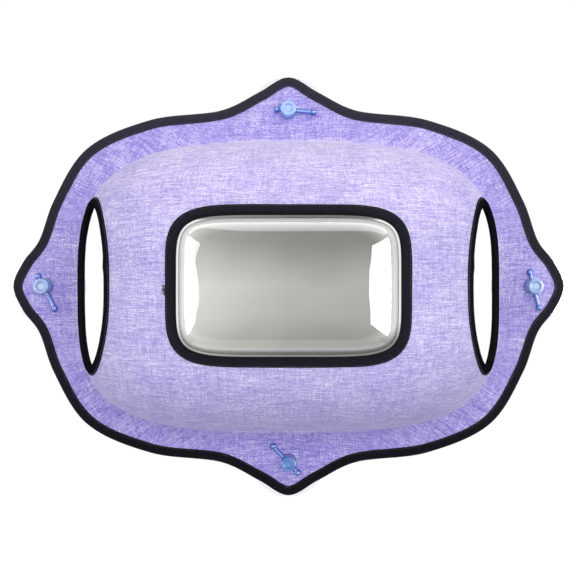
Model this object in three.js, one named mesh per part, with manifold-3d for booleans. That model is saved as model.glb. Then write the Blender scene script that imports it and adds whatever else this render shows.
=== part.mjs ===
// Window mounted cat perch: a laminated pod, bound in tape, that hangs on a pane by four suction cups.
// Millimetres. +Z is up, +X is to the right as seen from the room, +Y points out through the pane at y = 0.
// The origin is the middle of the cup pattern on the glass. Heights are distances from the glass.
import * as THREE from 'three';
import Module from 'manifold-3d';
import { mergeVertices } from 'three/addons/utils/BufferGeometryUtils.js';

const wasm = await Module();
wasm.setup();

// Gap between pieces that are sewn, bonded or seated on each other
const seamGap = 0.3;
// How far a cut reaches past the face that it goes through
const cutOverrun = 30;
// Vertices closer than this are one
const weldDistance = 0.001;

// Laminate of the pod, from the room side to the glass side
const coverThickness = 0.7;
const foamThickness = 3.2;
const liningThickness = 0.7;

// Pod: outline of its foot, where the wall leaves the flange, and how far its face stands from the flange
const footWidth = 520;
const footHeight = 358;
const footTopExponent = 3.2;
const footBottomExponent = 3.6;
const podDepth = 212;
const creaseEase = 5;
// Section of the wall from foot to land as a cubic curve: shares of the way inward and of the depth
const wallSectionShares = [[0, 0], [0.16, 0.52], [0.32, 0.92], [1, 1]];
const wallRowShares = [0.26, 0.5, 0.74];

// Reach of the flange's tabs from the foot to their raw tips, and how far in from the tips the posts are
const tabReachX = 81.2;
const tabReachZ = 79.7;
const cupInsetX = 38.2;
const cupInsetZ = 40.7;
// One quarter of the flange's raw edge, from the right tab's tip to the top's, as shares of half its size
const flangeQuarterShares = [
  [1, 0], [0.966, 0.111], [0.909, 0.211], [0.853, 0.409],
  [0.735, 0.655], [0.506, 0.794], [0.234, 0.845], [0.104, 0.93], [0, 1],
];
// Straight sides that each span of the quarter is cut into
const flangeSpanSides = [2, 1, 1, 2, 2, 1, 2, 2];

// Window opening in the pod's face, and the flat land round it
const windowWidth = 235;
const windowHeight = 149;
const windowExponent = 5.6;
const windowLand = 14;

// Side entries: heights along Z from the middle, and depths in front of the flange
const entryHeight = 185;
const entryNearDepth = 17;
const entryTipDepth = 74;
const entryFarDepth = 177;
const entryNearExponent = 3.1;
const entryFarExponent = 3;
const entrySegments = 20;

// Folded binding tape
const tapeThickness = 1;
const tapeLeg = 10.5;

// Clear bubble
const bubbleThickness = 1.5;
const bubbleRise = 54;
const bubbleExponent = 2.4;
const bubbleClearance = 2.2;
const bubbleFlange = 9;
const bubbleRings = 4;

// Suction cups
const cupDiameter = 95;
const cupHollow = 5;
const cupLipWidth = 5;
const cupLipThickness = 1.4;
const cupShoulderDiameter = 28;
const cupShoulderDrop = 4.2;
const cupStandoff = 13.7;
const cupSegments = 16;
// The cup's back and hollow, as shares of its radius and of the height that is left to climb
const cupBackShares = [[0.85, 0.3], [0.55, 0.72]];
const cupHollowShares = [[0.5, 0.75]];
const postDiameter = 20;
const postTopDiameter = 18.6;
const postReach = 20;
const postChamfer = 1;
const postRecessDiameter = 10;
const postRecessDepth = 1.6;
const postClearance = 0.5;
const postHoleSides = 16;

// Lock pins: each lies across its cup's post
const pinDiameter = 5;
const pinHoleClearance = 0.4;
const pinBallDiameter = 8;
const pinBallSpacing = 45;
const pinRise = 6.5;
// As each pin was left: its turn in degrees from +X towards +Z, and its push as a share of its travel
const pinTurns = { top: -4.6, right: -75.4, bottom: 133.2, left: -62.7 };
const pinPushShares = { top: 0.965, right: 0.53, bottom: 0.647, left: 0.965 };
const pinSegments = 8;
const pinBallRings = 4;

const flangeWidth = footWidth + 2 * tabReachX;
const flangeHeight = footHeight + 2 * tabReachZ;
const cupPlaceX = flangeWidth / 2 - cupInsetX;
const cupPlaceZ = flangeHeight / 2 - cupInsetZ;
const laminateThickness = coverThickness + foamThickness + liningThickness + 2 * seamGap;
const flangeBack = cupStandoff + seamGap;
const flangeFront = flangeBack + laminateThickness;
const landFront = flangeFront + podDepth;
const pinTravel = (pinBallSpacing - pinBallDiameter - postDiameter) / 2;

const lilac = new THREE.MeshStandardMaterial({ color: 0xc0b4ea, roughness: 0.9, metalness: 0 });
const foamGrey = new THREE.MeshStandardMaterial({ color: 0x8f8aa6, roughness: 0.95, metalness: 0 });
const liningLilac = new THREE.MeshStandardMaterial({ color: 0xb3a8dc, roughness: 0.95, metalness: 0 });
const tapeBlack = new THREE.MeshStandardMaterial({ color: 0x1e1f24, roughness: 0.85, metalness: 0 });
const smokeClear = new THREE.MeshStandardMaterial({
  color: 0xd6d6d2, roughness: 0.05, metalness: 0, transparent: true, opacity: 0.35,
});
const cupClear = new THREE.MeshStandardMaterial({
  color: 0xc3d8f5, roughness: 0.15, metalness: 0, transparent: true, opacity: 0.45,
});
const pinBlue = new THREE.MeshStandardMaterial({
  color: 0x4f80e0, roughness: 0.15, metalness: 0, transparent: true, opacity: 0.7,
});

// A point in space from a place in the outline's plane and a distance from the glass
function atHeight(place, height) {
  return new THREE.Vector3(place.x, -height, place.y);
}

// The loop made of one quarter, from +X to +Z, and its three mirror images
function mirroredLoop(quarter) {
  const inner = quarter.slice(1, -1);
  const mirrored = (places, acrossX, acrossZ) => (
    places.map(({ x, y }) => new THREE.Vector2(x * acrossX, y * acrossZ))
  );
  return [
    ...quarter,
    ...mirrored(inner, -1, 1).reverse(),
    ...mirrored(quarter, -1, -1),
    ...mirrored(inner, 1, -1).reverse(),
  ];
}

// The flange's raw edge: a smooth closed curve through the quarter's places, cut into straight sides
function flangeOutline() {
  const quarter = flangeQuarterShares.map(([x, z]) => (
    new THREE.Vector2(x * flangeWidth / 2, z * flangeHeight / 2)
  ));
  const knots = mirroredLoop(quarter).map(({ x, y }) => new THREE.Vector3(x, y, 0));
  const curve = new THREE.CatmullRomCurve3(knots, true, 'centripetal');
  const sides = flangeSpanSides.flatMap((count, span) => (
    [...Array(count).keys()].map((j) => span + j / count)
  ));
  const places = [...sides, flangeSpanSides.length].map((span) => {
    const { x, y } = curve.getPoint(span / knots.length);
    return new THREE.Vector2(x, y);
  });
  return mirroredLoop(places);
}

// One coordinate of a superellipse at a given sine or cosine
function superellipseShare(wave, exponent) {
  return Math.sign(wave) * Math.abs(wave) ** (2 / exponent);
}

// A superellipse of as many places as the flange's outline has, closest together round its corners
function superellipseLoop(width, height, topExponent, bottomExponent) {
  return flangeLoop.map((_, i) => {
    const angle = 2 * Math.PI * i / flangeLoop.length;
    const exponent = Math.sin(angle) > 0 ? topExponent : bottomExponent;
    const x = superellipseShare(Math.cos(angle), exponent) * width / 2;
    const z = superellipseShare(Math.sin(angle), exponent) * height / 2;
    return new THREE.Vector2(x, z);
  });
}

// The loop with every side moved outward by a distance, or inward by a negative one
function offsetLoop(loop, distance) {
  return loop.map((place, i) => {
    const ahead = loop[(i + 1) % loop.length].clone().sub(place).normalize();
    const behind = place.clone().sub(loop[(i + loop.length - 1) % loop.length]).normalize();
    const along = ahead.clone().add(behind).divideScalar(1 + ahead.dot(behind));
    return new THREE.Vector2(place.x + along.y * distance, place.y - along.x * distance);
  });
}

function scaleLoop(loop, share) {
  return loop.map((place) => place.clone().multiplyScalar(share));
}

const flangeLoop = flangeOutline();
const footLoop = superellipseLoop(footWidth, footHeight, footTopExponent, footBottomExponent);
const windowLoop = superellipseLoop(windowWidth, windowHeight, windowExponent, windowExponent);
const landLoop = offsetLoop(windowLoop, windowLand);
const loopCount = flangeLoop.length;

// Cubic Bezier value and slope of one column of the wall's section
function sectionValue(column, t) {
  const [a, b, c, d] = wallSectionShares.map((share) => share[column]);
  const s = 1 - t;
  return s * s * s * a + 3 * s * s * t * b + 3 * s * t * t * c + t * t * t * d;
}

function sectionSlope(column, t) {
  const [a, b, c, d] = wallSectionShares.map((share) => share[column]);
  const s = 1 - t;
  return 3 * (s * s * (b - a) + 2 * s * t * (c - b) + t * t * (d - c));
}

// A place on the wall at column i and share t of the way from foot to land, with its slope up the wall
function wallPlace(i, t) {
  const inward = landLoop[i].clone().sub(footLoop[i]);
  const place = footLoop[i].clone().addScaledVector(inward, sectionValue(0, t));
  const point = atHeight(place, flangeFront + podDepth * sectionValue(1, t));
  const slope = atHeight(inward.multiplyScalar(sectionSlope(0, t)), podDepth * sectionSlope(1, t));
  return { point, slope };
}

// Where the eased crease between flange and wall starts on the flange and ends on the wall
function creaseStart(i) {
  const outward = footLoop[i].clone().sub(landLoop[i]).normalize();
  return footLoop[i].clone().addScaledVector(outward, creaseEase);
}

function creaseEnd(i) {
  return wallPlace(i, creaseEase / wallPlace(i, 0).slope.length());
}

// Rows of the pod's room-side surface from flange edge to window edge: each entry is a point and its offset
function podRows() {
  const toRoom = new THREE.Vector3(0, -1, 0);
  const flat = (loop, height) => (
    loop.map((place) => ({ point: atHeight(place, height), outward: toRoom.clone() }))
  );
  const curved = (places) => places.map(({ point, slope }, i) => {
    const ahead = places[(i + 1) % loopCount].point.clone().sub(point).normalize();
    const behind = point.clone().sub(places[(i + loopCount - 1) % loopCount].point).normalize();
    const outward = slope.clone().cross(ahead.add(behind)).normalize();
    if (outward.y > 0) outward.negate();
    return { point, outward };
  });
  const columns = [...Array(loopCount).keys()];
  const wall = wallRowShares.map((t) => curved(columns.map((i) => wallPlace(i, t))));
  const landEdge = curved(columns.map((i) => wallPlace(i, 1)));
  landEdge.forEach((entry) => {
    const mitre = 1 + entry.outward.dot(toRoom);
    entry.outward.add(toRoom).divideScalar(mitre);
  });
  return [
    flat(flangeLoop, flangeFront),
    flat(columns.map(creaseStart), flangeFront),
    curved(columns.map(creaseEnd)),
    ...wall,
    landEdge,
    flat(windowLoop, landFront),
  ];
}

const rows = podRows();

// A closed geometry from rings of points: neighbouring rings are joined, and the last ring joins the first
function ringsGeometry(rings, closed) {
  const count = rings[0].length;
  const positions = rings.flat().flatMap((p) => [p.x, p.y, p.z]);
  const indices = [];
  const strips = closed ? rings.length : rings.length - 1;
  for (let r = 0; r < strips; r += 1) {
    const next = (r + 1) % rings.length;
    for (let i = 0; i < count; i += 1) {
      const j = (i + 1) % count;
      const [a, b, c, d] = [r * count + i, r * count + j, next * count + j, next * count + i];
      const straight = rings[r][i].distanceTo(rings[next][j]) <= rings[r][j].distanceTo(rings[next][i]);
      if (straight) indices.push(a, b, c, a, c, d);
      else indices.push(a, b, d, b, c, d);
    }
  }
  if (!closed) {
    capRing(positions, indices, rings[0], 0, false);
    capRing(positions, indices, rings[rings.length - 1], (rings.length - 1) * count, true);
  }
  const geometry = new THREE.BufferGeometry();
  geometry.setAttribute('position', new THREE.Float32BufferAttribute(positions, 3));
  geometry.setIndex(indices);
  return geometry;
}

// Closes one ring with a fan round its middle
function capRing(positions, indices, ring, first, facingOn) {
  const middle = ring.reduce((sum, p) => sum.add(p), new THREE.Vector3()).divideScalar(ring.length);
  const hub = positions.length / 3;
  positions.push(middle.x, middle.y, middle.z);
  for (let i = 0; i < ring.length; i += 1) {
    const j = (i + 1) % ring.length;
    if (facingOn) indices.push(first + i, first + j, hub);
    else indices.push(first + j, first + i, hub);
  }
}

// The geometry welded, without flat triangles and with its faces pointing out
function tidied(geometry) {
  const bare = new THREE.BufferGeometry();
  bare.setAttribute('position', geometry.getAttribute('position').clone());
  const given = geometry.getIndex();
  if (given) bare.setIndex(given.clone());
  const merged = mergeVertices(bare, weldDistance);
  const index = merged.getIndex().array;
  const position = merged.getAttribute('position');
  const a = new THREE.Vector3();
  const b = new THREE.Vector3();
  const c = new THREE.Vector3();
  const kept = [];
  let volume = 0;
  for (let i = 0; i < index.length; i += 3) {
    const [p, q, r] = [index[i], index[i + 1], index[i + 2]];
    if (p !== q && q !== r && r !== p) {
      kept.push(p, q, r);
      a.fromBufferAttribute(position, p);
      b.fromBufferAttribute(position, q);
      c.fromBufferAttribute(position, r);
      volume += a.dot(b.cross(c));
    }
  }
  merged.setIndex(volume < 0 ? kept.reverse() : kept);
  return merged;
}

function toSolid(geometry) {
  const closed = tidied(geometry);
  const vertProperties = closed.getAttribute('position').array;
  const triVerts = Uint32Array.from(closed.getIndex().array);
  return new wasm.Manifold(new wasm.Mesh({ numProp: 3, vertProperties, triVerts }));
}

function fromSolid(solid) {
  const mesh = solid.getMesh();
  const geometry = new THREE.BufferGeometry();
  geometry.setAttribute('position', new THREE.Float32BufferAttribute(mesh.vertProperties, 3));
  geometry.setIndex(Array.from(mesh.triVerts));
  return tidied(geometry);
}

// One layer of the pod between two depths below its room-side surface, before anything is cut in it
function podLayer(near, far) {
  const sunk = (depth) => rows.map((row) => (
    row.map(({ point, outward }) => point.clone().addScaledVector(outward, -depth))
  ));
  return toSolid(ringsGeometry([...sunk(near), ...sunk(far).reverse()], true));
}

// The column number, with its fraction, at which the right-hand wall passes a given Z at share t
function columnAtZ(z, t) {
  let low = -loopCount / 4;
  let high = loopCount / 4;
  const steps = 40;
  for (let n = 0; n < steps; n += 1) {
    const middle = (low + high) / 2;
    if (blendedWall(middle, t).point.z < z) low = middle;
    else high = middle;
  }
  return (low + high) / 2;
}

// A wall place between two columns
function blendedWall(column, t) {
  const below = Math.floor(column);
  const from = wallPlace((below + loopCount) % loopCount, t);
  const to = wallPlace((below + 1 + loopCount) % loopCount, t);
  const share = column - below;
  const along = to.point.clone().sub(from.point);
  return { point: from.point.lerp(to.point, share), slope: from.slope.lerp(to.slope, share), along };
}

function shareAtDepth(depth) {
  let low = 0;
  let high = 1;
  const steps = 40;
  for (let n = 0; n < steps; n += 1) {
    const middle = (low + high) / 2;
    if (podDepth * sectionValue(1, middle) < depth) low = middle;
    else high = middle;
  }
  return (low + high) / 2;
}

// The right-hand entry's edge on the wall: one lobe towards the flange and a deeper one towards the face
function entryEdge() {
  const edge = [];
  for (let k = 0; k < entrySegments; k += 1) {
    const angle = 2 * Math.PI * k / entrySegments;
    const far = Math.sin(angle) > 0;
    const exponent = far ? entryFarExponent : entryNearExponent;
    const reach = far ? entryFarDepth - entryTipDepth : entryTipDepth - entryNearDepth;
    const z = superellipseShare(Math.cos(angle), exponent) * entryHeight / 2;
    const depth = entryTipDepth + superellipseShare(Math.sin(angle), exponent) * reach;
    const t = shareAtDepth(depth);
    const place = blendedWall(columnAtZ(z, t), t);
    const outward = place.slope.clone().cross(place.along).normalize();
    if (outward.x < 0) outward.negate();
    edge.push({ point: place.point, outward });
  }
  return edge;
}

const rightEntryEdge = entryEdge();

// A plug that fills the entry square to the wall, grown past the entry's edge by a margin along the wall
function entryPlug(margin) {
  const count = rightEntryEdge.length;
  const grown = rightEntryEdge.map(({ point, outward }, k) => {
    const next = rightEntryEdge[(k + 1) % count].point;
    const previous = rightEntryEdge[(k + count - 1) % count].point;
    const along = next.clone().sub(previous).normalize();
    const away = along.cross(outward).normalize();
    return { point: point.clone().addScaledVector(away, margin), outward };
  });
  const ring = (distance) => (
    grown.map(({ point, outward }) => point.clone().addScaledVector(outward, distance))
  );
  return toSolid(ringsGeometry([ring(-cutOverrun), ring(cutOverrun)], false));
}

function mirroredInX(solid) {
  return solid.mirror([1, 0, 0]);
}

const cupPlaces = {
  top: new THREE.Vector2(0, cupPlaceZ),
  right: new THREE.Vector2(cupPlaceX, 0),
  bottom: new THREE.Vector2(0, -cupPlaceZ),
  left: new THREE.Vector2(-cupPlaceX, 0),
};

// One cutter for a post's hole through the flange
function postHole(place) {
  const radius = postDiameter / 2 + postClearance;
  const cylinder = new THREE.CylinderGeometry(radius, radius, 2 * cutOverrun, postHoleSides);
  cylinder.translate(place.x, -flangeFront, place.y);
  return toSolid(cylinder);
}

// A finished layer of the laminate, with its entries and post holes
function laminateLayer(near, far) {
  const rightEntry = entryPlug(0);
  const cuts = [rightEntry, mirroredInX(rightEntry), ...Object.values(cupPlaces).map(postHole)];
  return fromSolid(cuts.reduce((solid, cut) => solid.subtract(cut), podLayer(near, far)));
}

// Tape folded over a flat edge: side is 1 for an outer edge and -1 for an opening
function flatBinding(loop, side, frontHeight) {
  const backHeight = frontHeight - laminateThickness;
  const skin = seamGap + tapeThickness;
  const section = [
    [-tapeLeg, frontHeight + seamGap],
    [-tapeLeg, frontHeight + skin],
    [0, frontHeight + skin],
    [skin, frontHeight],
    [skin, backHeight],
    [0, backHeight - skin],
    [-tapeLeg, backHeight - skin],
    [-tapeLeg, backHeight - seamGap],
    [seamGap, backHeight - seamGap],
    [seamGap, frontHeight + seamGap],
  ];
  const rings = section.map(([past, height]) => (
    offsetLoop(loop, side * past).map((place) => atHeight(place, height))
  ));
  return tidied(ringsGeometry(rings, true));
}

// Tape folded over the right-hand entry's edge, which follows the wall's curve
function entryBinding() {
  const skin = seamGap + tapeThickness;
  const outside = podLayer(-skin, laminateThickness + skin);
  const inside = podLayer(-seamGap, laminateThickness + seamGap);
  const band = entryPlug(tapeLeg).subtract(entryPlug(-skin));
  const filling = inside.subtract(entryPlug(-seamGap));
  return outside.intersect(band).subtract(filling);
}

// Clear dome with a flange that lies behind the window's binding
function bubble() {
  const flangeTop = landFront - laminateThickness - tapeThickness - 2 * seamGap;
  const edge = offsetLoop(windowLoop, bubbleFlange);
  const base = offsetLoop(windowLoop, -(seamGap + tapeThickness + bubbleClearance));
  const inner = offsetLoop(base, -bubbleThickness);
  const dome = (loop, height) => {
    const rings = [];
    for (let k = 0; k < bubbleRings; k += 1) {
      const angle = Math.PI / 2 * k / bubbleRings;
      const share = Math.cos(angle) ** (2 / bubbleExponent);
      const rise = Math.sin(angle) ** (2 / bubbleExponent) * bubbleRise;
      rings.push(scaleLoop(loop, share).map((place) => atHeight(place, height + rise)));
    }
    rings.push(loop.map(() => atHeight(new THREE.Vector2(), height + bubbleRise)));
    return rings;
  };
  const outer = dome(base, flangeTop);
  const hollow = dome(inner, flangeTop - bubbleThickness);
  const flange = [flangeTop, flangeTop - bubbleThickness];
  const [front, back] = flange.map((height) => edge.map((place) => atHeight(place, height)));
  return tidied(ringsGeometry([...outer.reverse(), front, back, ...hollow], false));
}

// Clear cup turned about its post, with the lock pin's hole along its own X
function suctionCup() {
  const radius = cupDiameter / 2;
  const shoulder = cupShoulderDiameter / 2;
  const neckHeight = cupStandoff - cupShoulderDrop;
  const top = flangeFront + postReach;
  const backClimb = neckHeight - cupLipThickness;
  const profile = [
    [0, cupHollow],
    ...cupHollowShares.toReversed().map(([r, h]) => [r * radius, h * cupHollow]),
    [radius - cupLipWidth, 0],
    [radius, 0],
    [radius, cupLipThickness],
    ...cupBackShares.map(([r, h]) => [r * radius, cupLipThickness + h * backClimb]),
    [shoulder, neckHeight],
    [shoulder, cupStandoff],
    [postDiameter / 2, cupStandoff],
    [postTopDiameter / 2, top - postChamfer],
    [postTopDiameter / 2 - postChamfer, top],
    [postRecessDiameter / 2, top],
    [postRecessDiameter / 2, top - postRecessDepth],
    [0, top - postRecessDepth],
  ];
  const points = profile.map(([r, h]) => new THREE.Vector2(r, -h));
  const body = toSolid(new THREE.LatheGeometry(points, cupSegments));
  const holeRadius = pinDiameter / 2 + pinHoleClearance;
  const hole = new THREE.CylinderGeometry(holeRadius, holeRadius, postDiameter + 2 * seamGap, pinSegments);
  hole.rotateZ(Math.PI / 2);
  hole.translate(0, -(flangeFront + pinRise), 0);
  return fromSolid(body.subtract(toSolid(hole)));
}

// Blue pin along its own X: a rod with a ball at each end
function lockPin() {
  const ball = pinBallDiameter / 2;
  const rod = pinDiameter / 2;
  const neckAngle = Math.asin(rod / ball);
  const half = [];
  for (let k = 0; k <= pinBallRings; k += 1) {
    const angle = (Math.PI - neckAngle) * k / pinBallRings;
    half.push([Math.sin(angle) * ball, pinBallSpacing / 2 + Math.cos(angle) * ball]);
  }
  const profile = [...half, ...half.toReversed().map(([r, along]) => [r, -along])];
  const points = profile.map(([r, along]) => new THREE.Vector2(r, along));
  const turned = new THREE.LatheGeometry(points, pinSegments);
  turned.rotateZ(Math.PI / 2);
  return tidied(turned);
}

function piece(name, geometry, material) {
  const mesh = new THREE.Mesh(geometry, material);
  mesh.name = name;
  return mesh;
}

// A cup and its pin, placed on the pane and turned together
function hanger(where) {
  const group = new THREE.Group();
  group.position.copy(atHeight(cupPlaces[where], 0));
  group.rotation.y = -THREE.MathUtils.degToRad(pinTurns[where]);
  const pin = piece(`lock_pin_${where}`, lockPin(), pinBlue);
  pin.position.set(pinTravel * pinPushShares[where], -(flangeFront + pinRise), 0);
  group.add(piece(`suction_cup_${where}`, suctionCup(), cupClear), pin);
  return group;
}

const foamNear = coverThickness + seamGap;
const liningNear = foamNear + foamThickness + seamGap;
const rightBinding = entryBinding();

const perch = new THREE.Group();
perch.add(
  piece('outer_cover', laminateLayer(0, coverThickness), lilac),
  piece('foam_core', laminateLayer(foamNear, foamNear + foamThickness), foamGrey),
  piece('inner_lining', laminateLayer(liningNear, laminateThickness), liningLilac),
  piece('rim_binding', flatBinding(flangeLoop, 1, flangeFront), tapeBlack),
  piece('left_entry_binding', fromSolid(mirroredInX(rightBinding)), tapeBlack),
  piece('right_entry_binding', fromSolid(rightBinding), tapeBlack),
  piece('window_binding', flatBinding(windowLoop, -1, landFront), tapeBlack),
  piece('window_bubble', bubble(), smokeClear),
  ...Object.keys(cupPlaces).map(hanger),
);

export default perch;
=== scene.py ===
"""Window mounted cat perch, dressed for rendering.

A padded fabric pod, bound in black tape, hangs on a window pane by four clear
suction cups that blue pins lock.  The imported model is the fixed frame: a finer
piece stands for each of its nodes, in the same place.  Sizes are in millimetres
until a vertex is placed; heights are distances from the glass into the room.
"""

from __future__ import annotations

import logging
import math
from collections.abc import Callable, Iterator, Sequence
from dataclasses import dataclass
from enum import Enum

import bmesh
import bpy
from bpy.types import Material, Node, NodeSocket, NodeTree, Object
from mathutils import Matrix, Vector, noise
from mathutils.bvhtree import BVHTree

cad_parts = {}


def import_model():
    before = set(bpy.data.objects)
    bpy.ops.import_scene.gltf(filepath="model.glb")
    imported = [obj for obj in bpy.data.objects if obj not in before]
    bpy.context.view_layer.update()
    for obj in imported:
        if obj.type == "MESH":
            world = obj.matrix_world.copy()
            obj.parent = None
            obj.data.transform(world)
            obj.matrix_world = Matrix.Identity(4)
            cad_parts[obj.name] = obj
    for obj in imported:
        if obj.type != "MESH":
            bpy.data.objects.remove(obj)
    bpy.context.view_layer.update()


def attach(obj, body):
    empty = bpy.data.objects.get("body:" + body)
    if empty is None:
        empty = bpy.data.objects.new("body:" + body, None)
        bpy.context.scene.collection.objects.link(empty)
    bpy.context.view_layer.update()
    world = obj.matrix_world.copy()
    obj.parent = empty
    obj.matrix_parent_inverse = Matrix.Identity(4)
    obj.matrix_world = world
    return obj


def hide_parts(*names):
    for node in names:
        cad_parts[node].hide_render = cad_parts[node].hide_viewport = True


LOG = logging.getLogger("perch")
MM = 0.001
TURN = 2 * math.pi
WELD = 1e-7  # metres within which two vertices are one
SEAM = 0.3  # air between two pieces that lie on each other

Pair = tuple[float, float]
Spot = tuple[float, float, float]
Ramp = tuple[tuple[float, str], ...]


# ---------------------------------------------------------------- small tools


def lerp(a: float, b: float, share: float) -> float:
    """The value at a share of the way from a to b."""
    return a + (b - a) * share


def smooth(low: float, high: float, value: float) -> float:
    """0 below low, 1 above high and an S-curve between them."""
    share = min(max((value - low) / (high - low), 0.0), 1.0)
    return share * share * (3 - 2 * share)


def power_share(wave: float, exponent: float) -> float:
    """One coordinate of a superellipse at a given sine or cosine."""
    return math.copysign(abs(wave) ** (2 / exponent), wave)


def crossing(low: float, high: float, before: Callable[[float], bool]) -> float:
    """Where a test that holds at low stops holding on the way to high.

    Args:
        low: One end, where the test holds.
        high: The other end, where it doesn't.
        before: The test.

    Returns:
        The last value found at which it holds.
    """
    for _ in range(40):
        middle = (low + high) / 2
        if before(middle):
            low = middle
        else:
            high = middle
    return low


def ripple(point: Vector, wavelength: float, seed: float) -> float:
    """Slow seeded unevenness, from about -1 to 1.

    Args:
        point: Place in millimetres.
        wavelength: Distance between neighbouring swells.
        seed: Which of many patterns to use.

    Returns:
        The unevenness at that place.
    """
    return noise.noise(point / wavelength + Vector((seed, seed * 0.7, -seed)))


def at_height(flat: Vector, height: float) -> Vector:
    """A point from a place in the outline's plane and a height over the glass."""
    return Vector((flat.x, -height, flat.y))


def bezier(points: Sequence[Vector], t: float) -> Vector:
    """A point on the quadratic curve through three control points."""
    a, b, c = points
    return a * (1 - t) ** 2 + b * (2 * t * (1 - t)) + c * t * t


def lengths(points: Sequence[Vector]) -> list[float]:
    """Distance along a closed path at each of its points, and all the way round.

    Args:
        points: The path's points, in order.

    Returns:
        As many distances as points, and one more for the whole way.
    """
    result = [0.0]
    for here, ahead in zip(points, [*points[1:], points[0]]):
        result.append(result[-1] + (ahead - here).length)
    return result


def evenly(arc: Sequence[float], count: int) -> Iterator[tuple[float, int, float]]:
    """Takes even steps along a closed path.

    Args:
        arc: Distance along the path at each of its points, and all the way round.
        count: How many steps to take.

    Yields:
        The distance, the point before it and the share of the way to the next.
    """
    k = 0
    for n in range(count):
        along = arc[-1] * n / count
        while arc[k + 1] < along:
            k += 1
        yield along, k, (along - arc[k]) / (arc[k + 1] - arc[k])


def welded(bm: bmesh.types.BMesh) -> bmesh.types.BMesh:
    """The mesh with its seams closed and its faces turned outwards.

    Args:
        bm: The mesh, which is changed.

    Returns:
        The same mesh.
    """
    bmesh.ops.remove_doubles(bm, verts=bm.verts, dist=WELD)
    bmesh.ops.recalc_face_normals(bm, faces=bm.faces)
    return bm


def wrapped_grid(
    columns: int,
    rows: int,
    place: Callable[[int, int], Vector],
    maps: dict[str, Callable[[int, int], Pair]] | None = None,
) -> bmesh.types.BMesh:
    """Wraps a flat grid into a surface and welds the edges that meet.

    Args:
        columns: Faces along the grid's first side.
        rows: Faces along its second side.
        place: Gives the millimetre place of the vertex at (column, row).
        maps: UV maps by name, each giving its pair at (column, row).

    Returns:
        The welded mesh, in metres.
    """
    half = 0.5
    bm = bmesh.new()
    bmesh.ops.create_grid(bm, x_segments=columns, y_segments=rows, size=half)
    cell = {}
    for v in bm.verts:
        cell[v] = (round((v.co.x + half) * columns), round((v.co.y + half) * rows))
    for name, pair in (maps or {}).items():
        layer = bm.loops.layers.uv.new(name)
        for face in bm.faces:
            for loop in face.loops:
                loop[layer].uv = pair(*cell[loop.vert])
    for v, (i, j) in cell.items():
        v.co = place(i, j) * MM
    return welded(bm)


def revolve(profile: Sequence[Pair], steps: int) -> bmesh.types.BMesh:
    """Spins a profile round the Y axis.

    Args:
        profile: Radius and place along Y of each point, from axis to axis.
        steps: Faces round the axis.

    Returns:
        The closed mesh, in metres.
    """
    bm = bmesh.new()
    verts = [bm.verts.new(Vector((r, along, 0)) * MM) for r, along in profile]
    edges = [bm.edges.new(pair) for pair in zip(verts, verts[1:])]
    bmesh.ops.spin(
        bm, geom=verts + edges, cent=(0, 0, 0), axis=(0, 1, 0),
        angle=TURN, steps=steps, use_merge=True,
    )
    return welded(bm)


def rod(
    radius: float, length: float, segments: int, middle: Vector, about: str
) -> bmesh.types.BMesh:
    """A closed round bar, which stands along Z until it is turned.

    Args:
        radius: Its radius.
        length: Its length.
        segments: Faces round it.
        middle: Its middle.
        about: The axis of the quarter turn that lays it down.

    Returns:
        The mesh, in metres.
    """
    bm = bmesh.new()
    bmesh.ops.create_cone(
        bm, cap_ends=True, segments=segments,
        radius1=radius * MM, radius2=radius * MM, depth=length * MM,
        matrix=Matrix.Translation(middle * MM) @ Matrix.Rotation(math.pi / 2, 4, about),
    )
    return bm


def to_object(bm: bmesh.types.BMesh, name: str) -> Object:
    """Makes a smooth shaded object of a mesh, and frees it.

    Args:
        bm: The mesh, in metres.
        name: The object's name.

    Returns:
        The object, which stands at the origin.
    """
    mesh = bpy.data.meshes.new(name)
    for face in bm.faces:
        face.smooth = True
    bm.to_mesh(mesh)
    bm.free()
    piece = bpy.data.objects.new(name, mesh)
    bpy.context.scene.collection.objects.link(piece)
    return piece


def cut(piece: Object, cutters: Sequence[Object]) -> None:
    """Cuts holes in a piece with closed cutters.

    Args:
        piece: What is cut.
        cutters: What is taken out of it.
    """
    for cutter in cutters:
        modifier = piece.modifiers.new("cut", "BOOLEAN")
        modifier.operation = "DIFFERENCE"
        modifier.solver = "EXACT"
        modifier.object = cutter
    graph = bpy.context.evaluated_depsgraph_get()
    mesh = bpy.data.meshes.new_from_object(piece.evaluated_get(graph))
    piece.modifiers.clear()
    piece.data = mesh


def crisp(piece: Object, degrees: float) -> None:
    """Keeps edges sharper than an angle crisp under smooth shading."""
    piece.data.set_sharp_from_angle(angle=math.radians(degrees))


def discard(pieces: Sequence[Object]) -> None:
    """Removes helper objects."""
    for piece in pieces:
        bpy.data.objects.remove(piece)


# ------------------------------------------------------------------- finishes


def linear(code: str) -> tuple[float, float, float, float]:
    """Turns an sRGB hex colour to linear RGBA.

    Args:
        code: The colour, as # and six digits.

    Returns:
        Red, green and blue, and an alpha of 1.
    """
    values = [int(code[i : i + 2], 16) / 255 for i in (1, 3, 5)]
    return (
        *(v / 12.92 if v <= 0.04045 else ((v + 0.055) / 1.055) ** 2.4 for v in values),
        1.0,
    )


def feed(tree: NodeTree, socket: NodeSocket, value: object) -> None:
    """Sets an input, or links it to a socket or to a node's first result.

    Args:
        tree: The tree of both ends.
        socket: The input.
        value: A value, or the socket or the node to link to it.
    """
    if isinstance(value, Node):
        value = next(result for result in value.outputs if result.enabled)
    if isinstance(value, NodeSocket):
        tree.links.new(value, socket)
    else:
        socket.default_value = value


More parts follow.
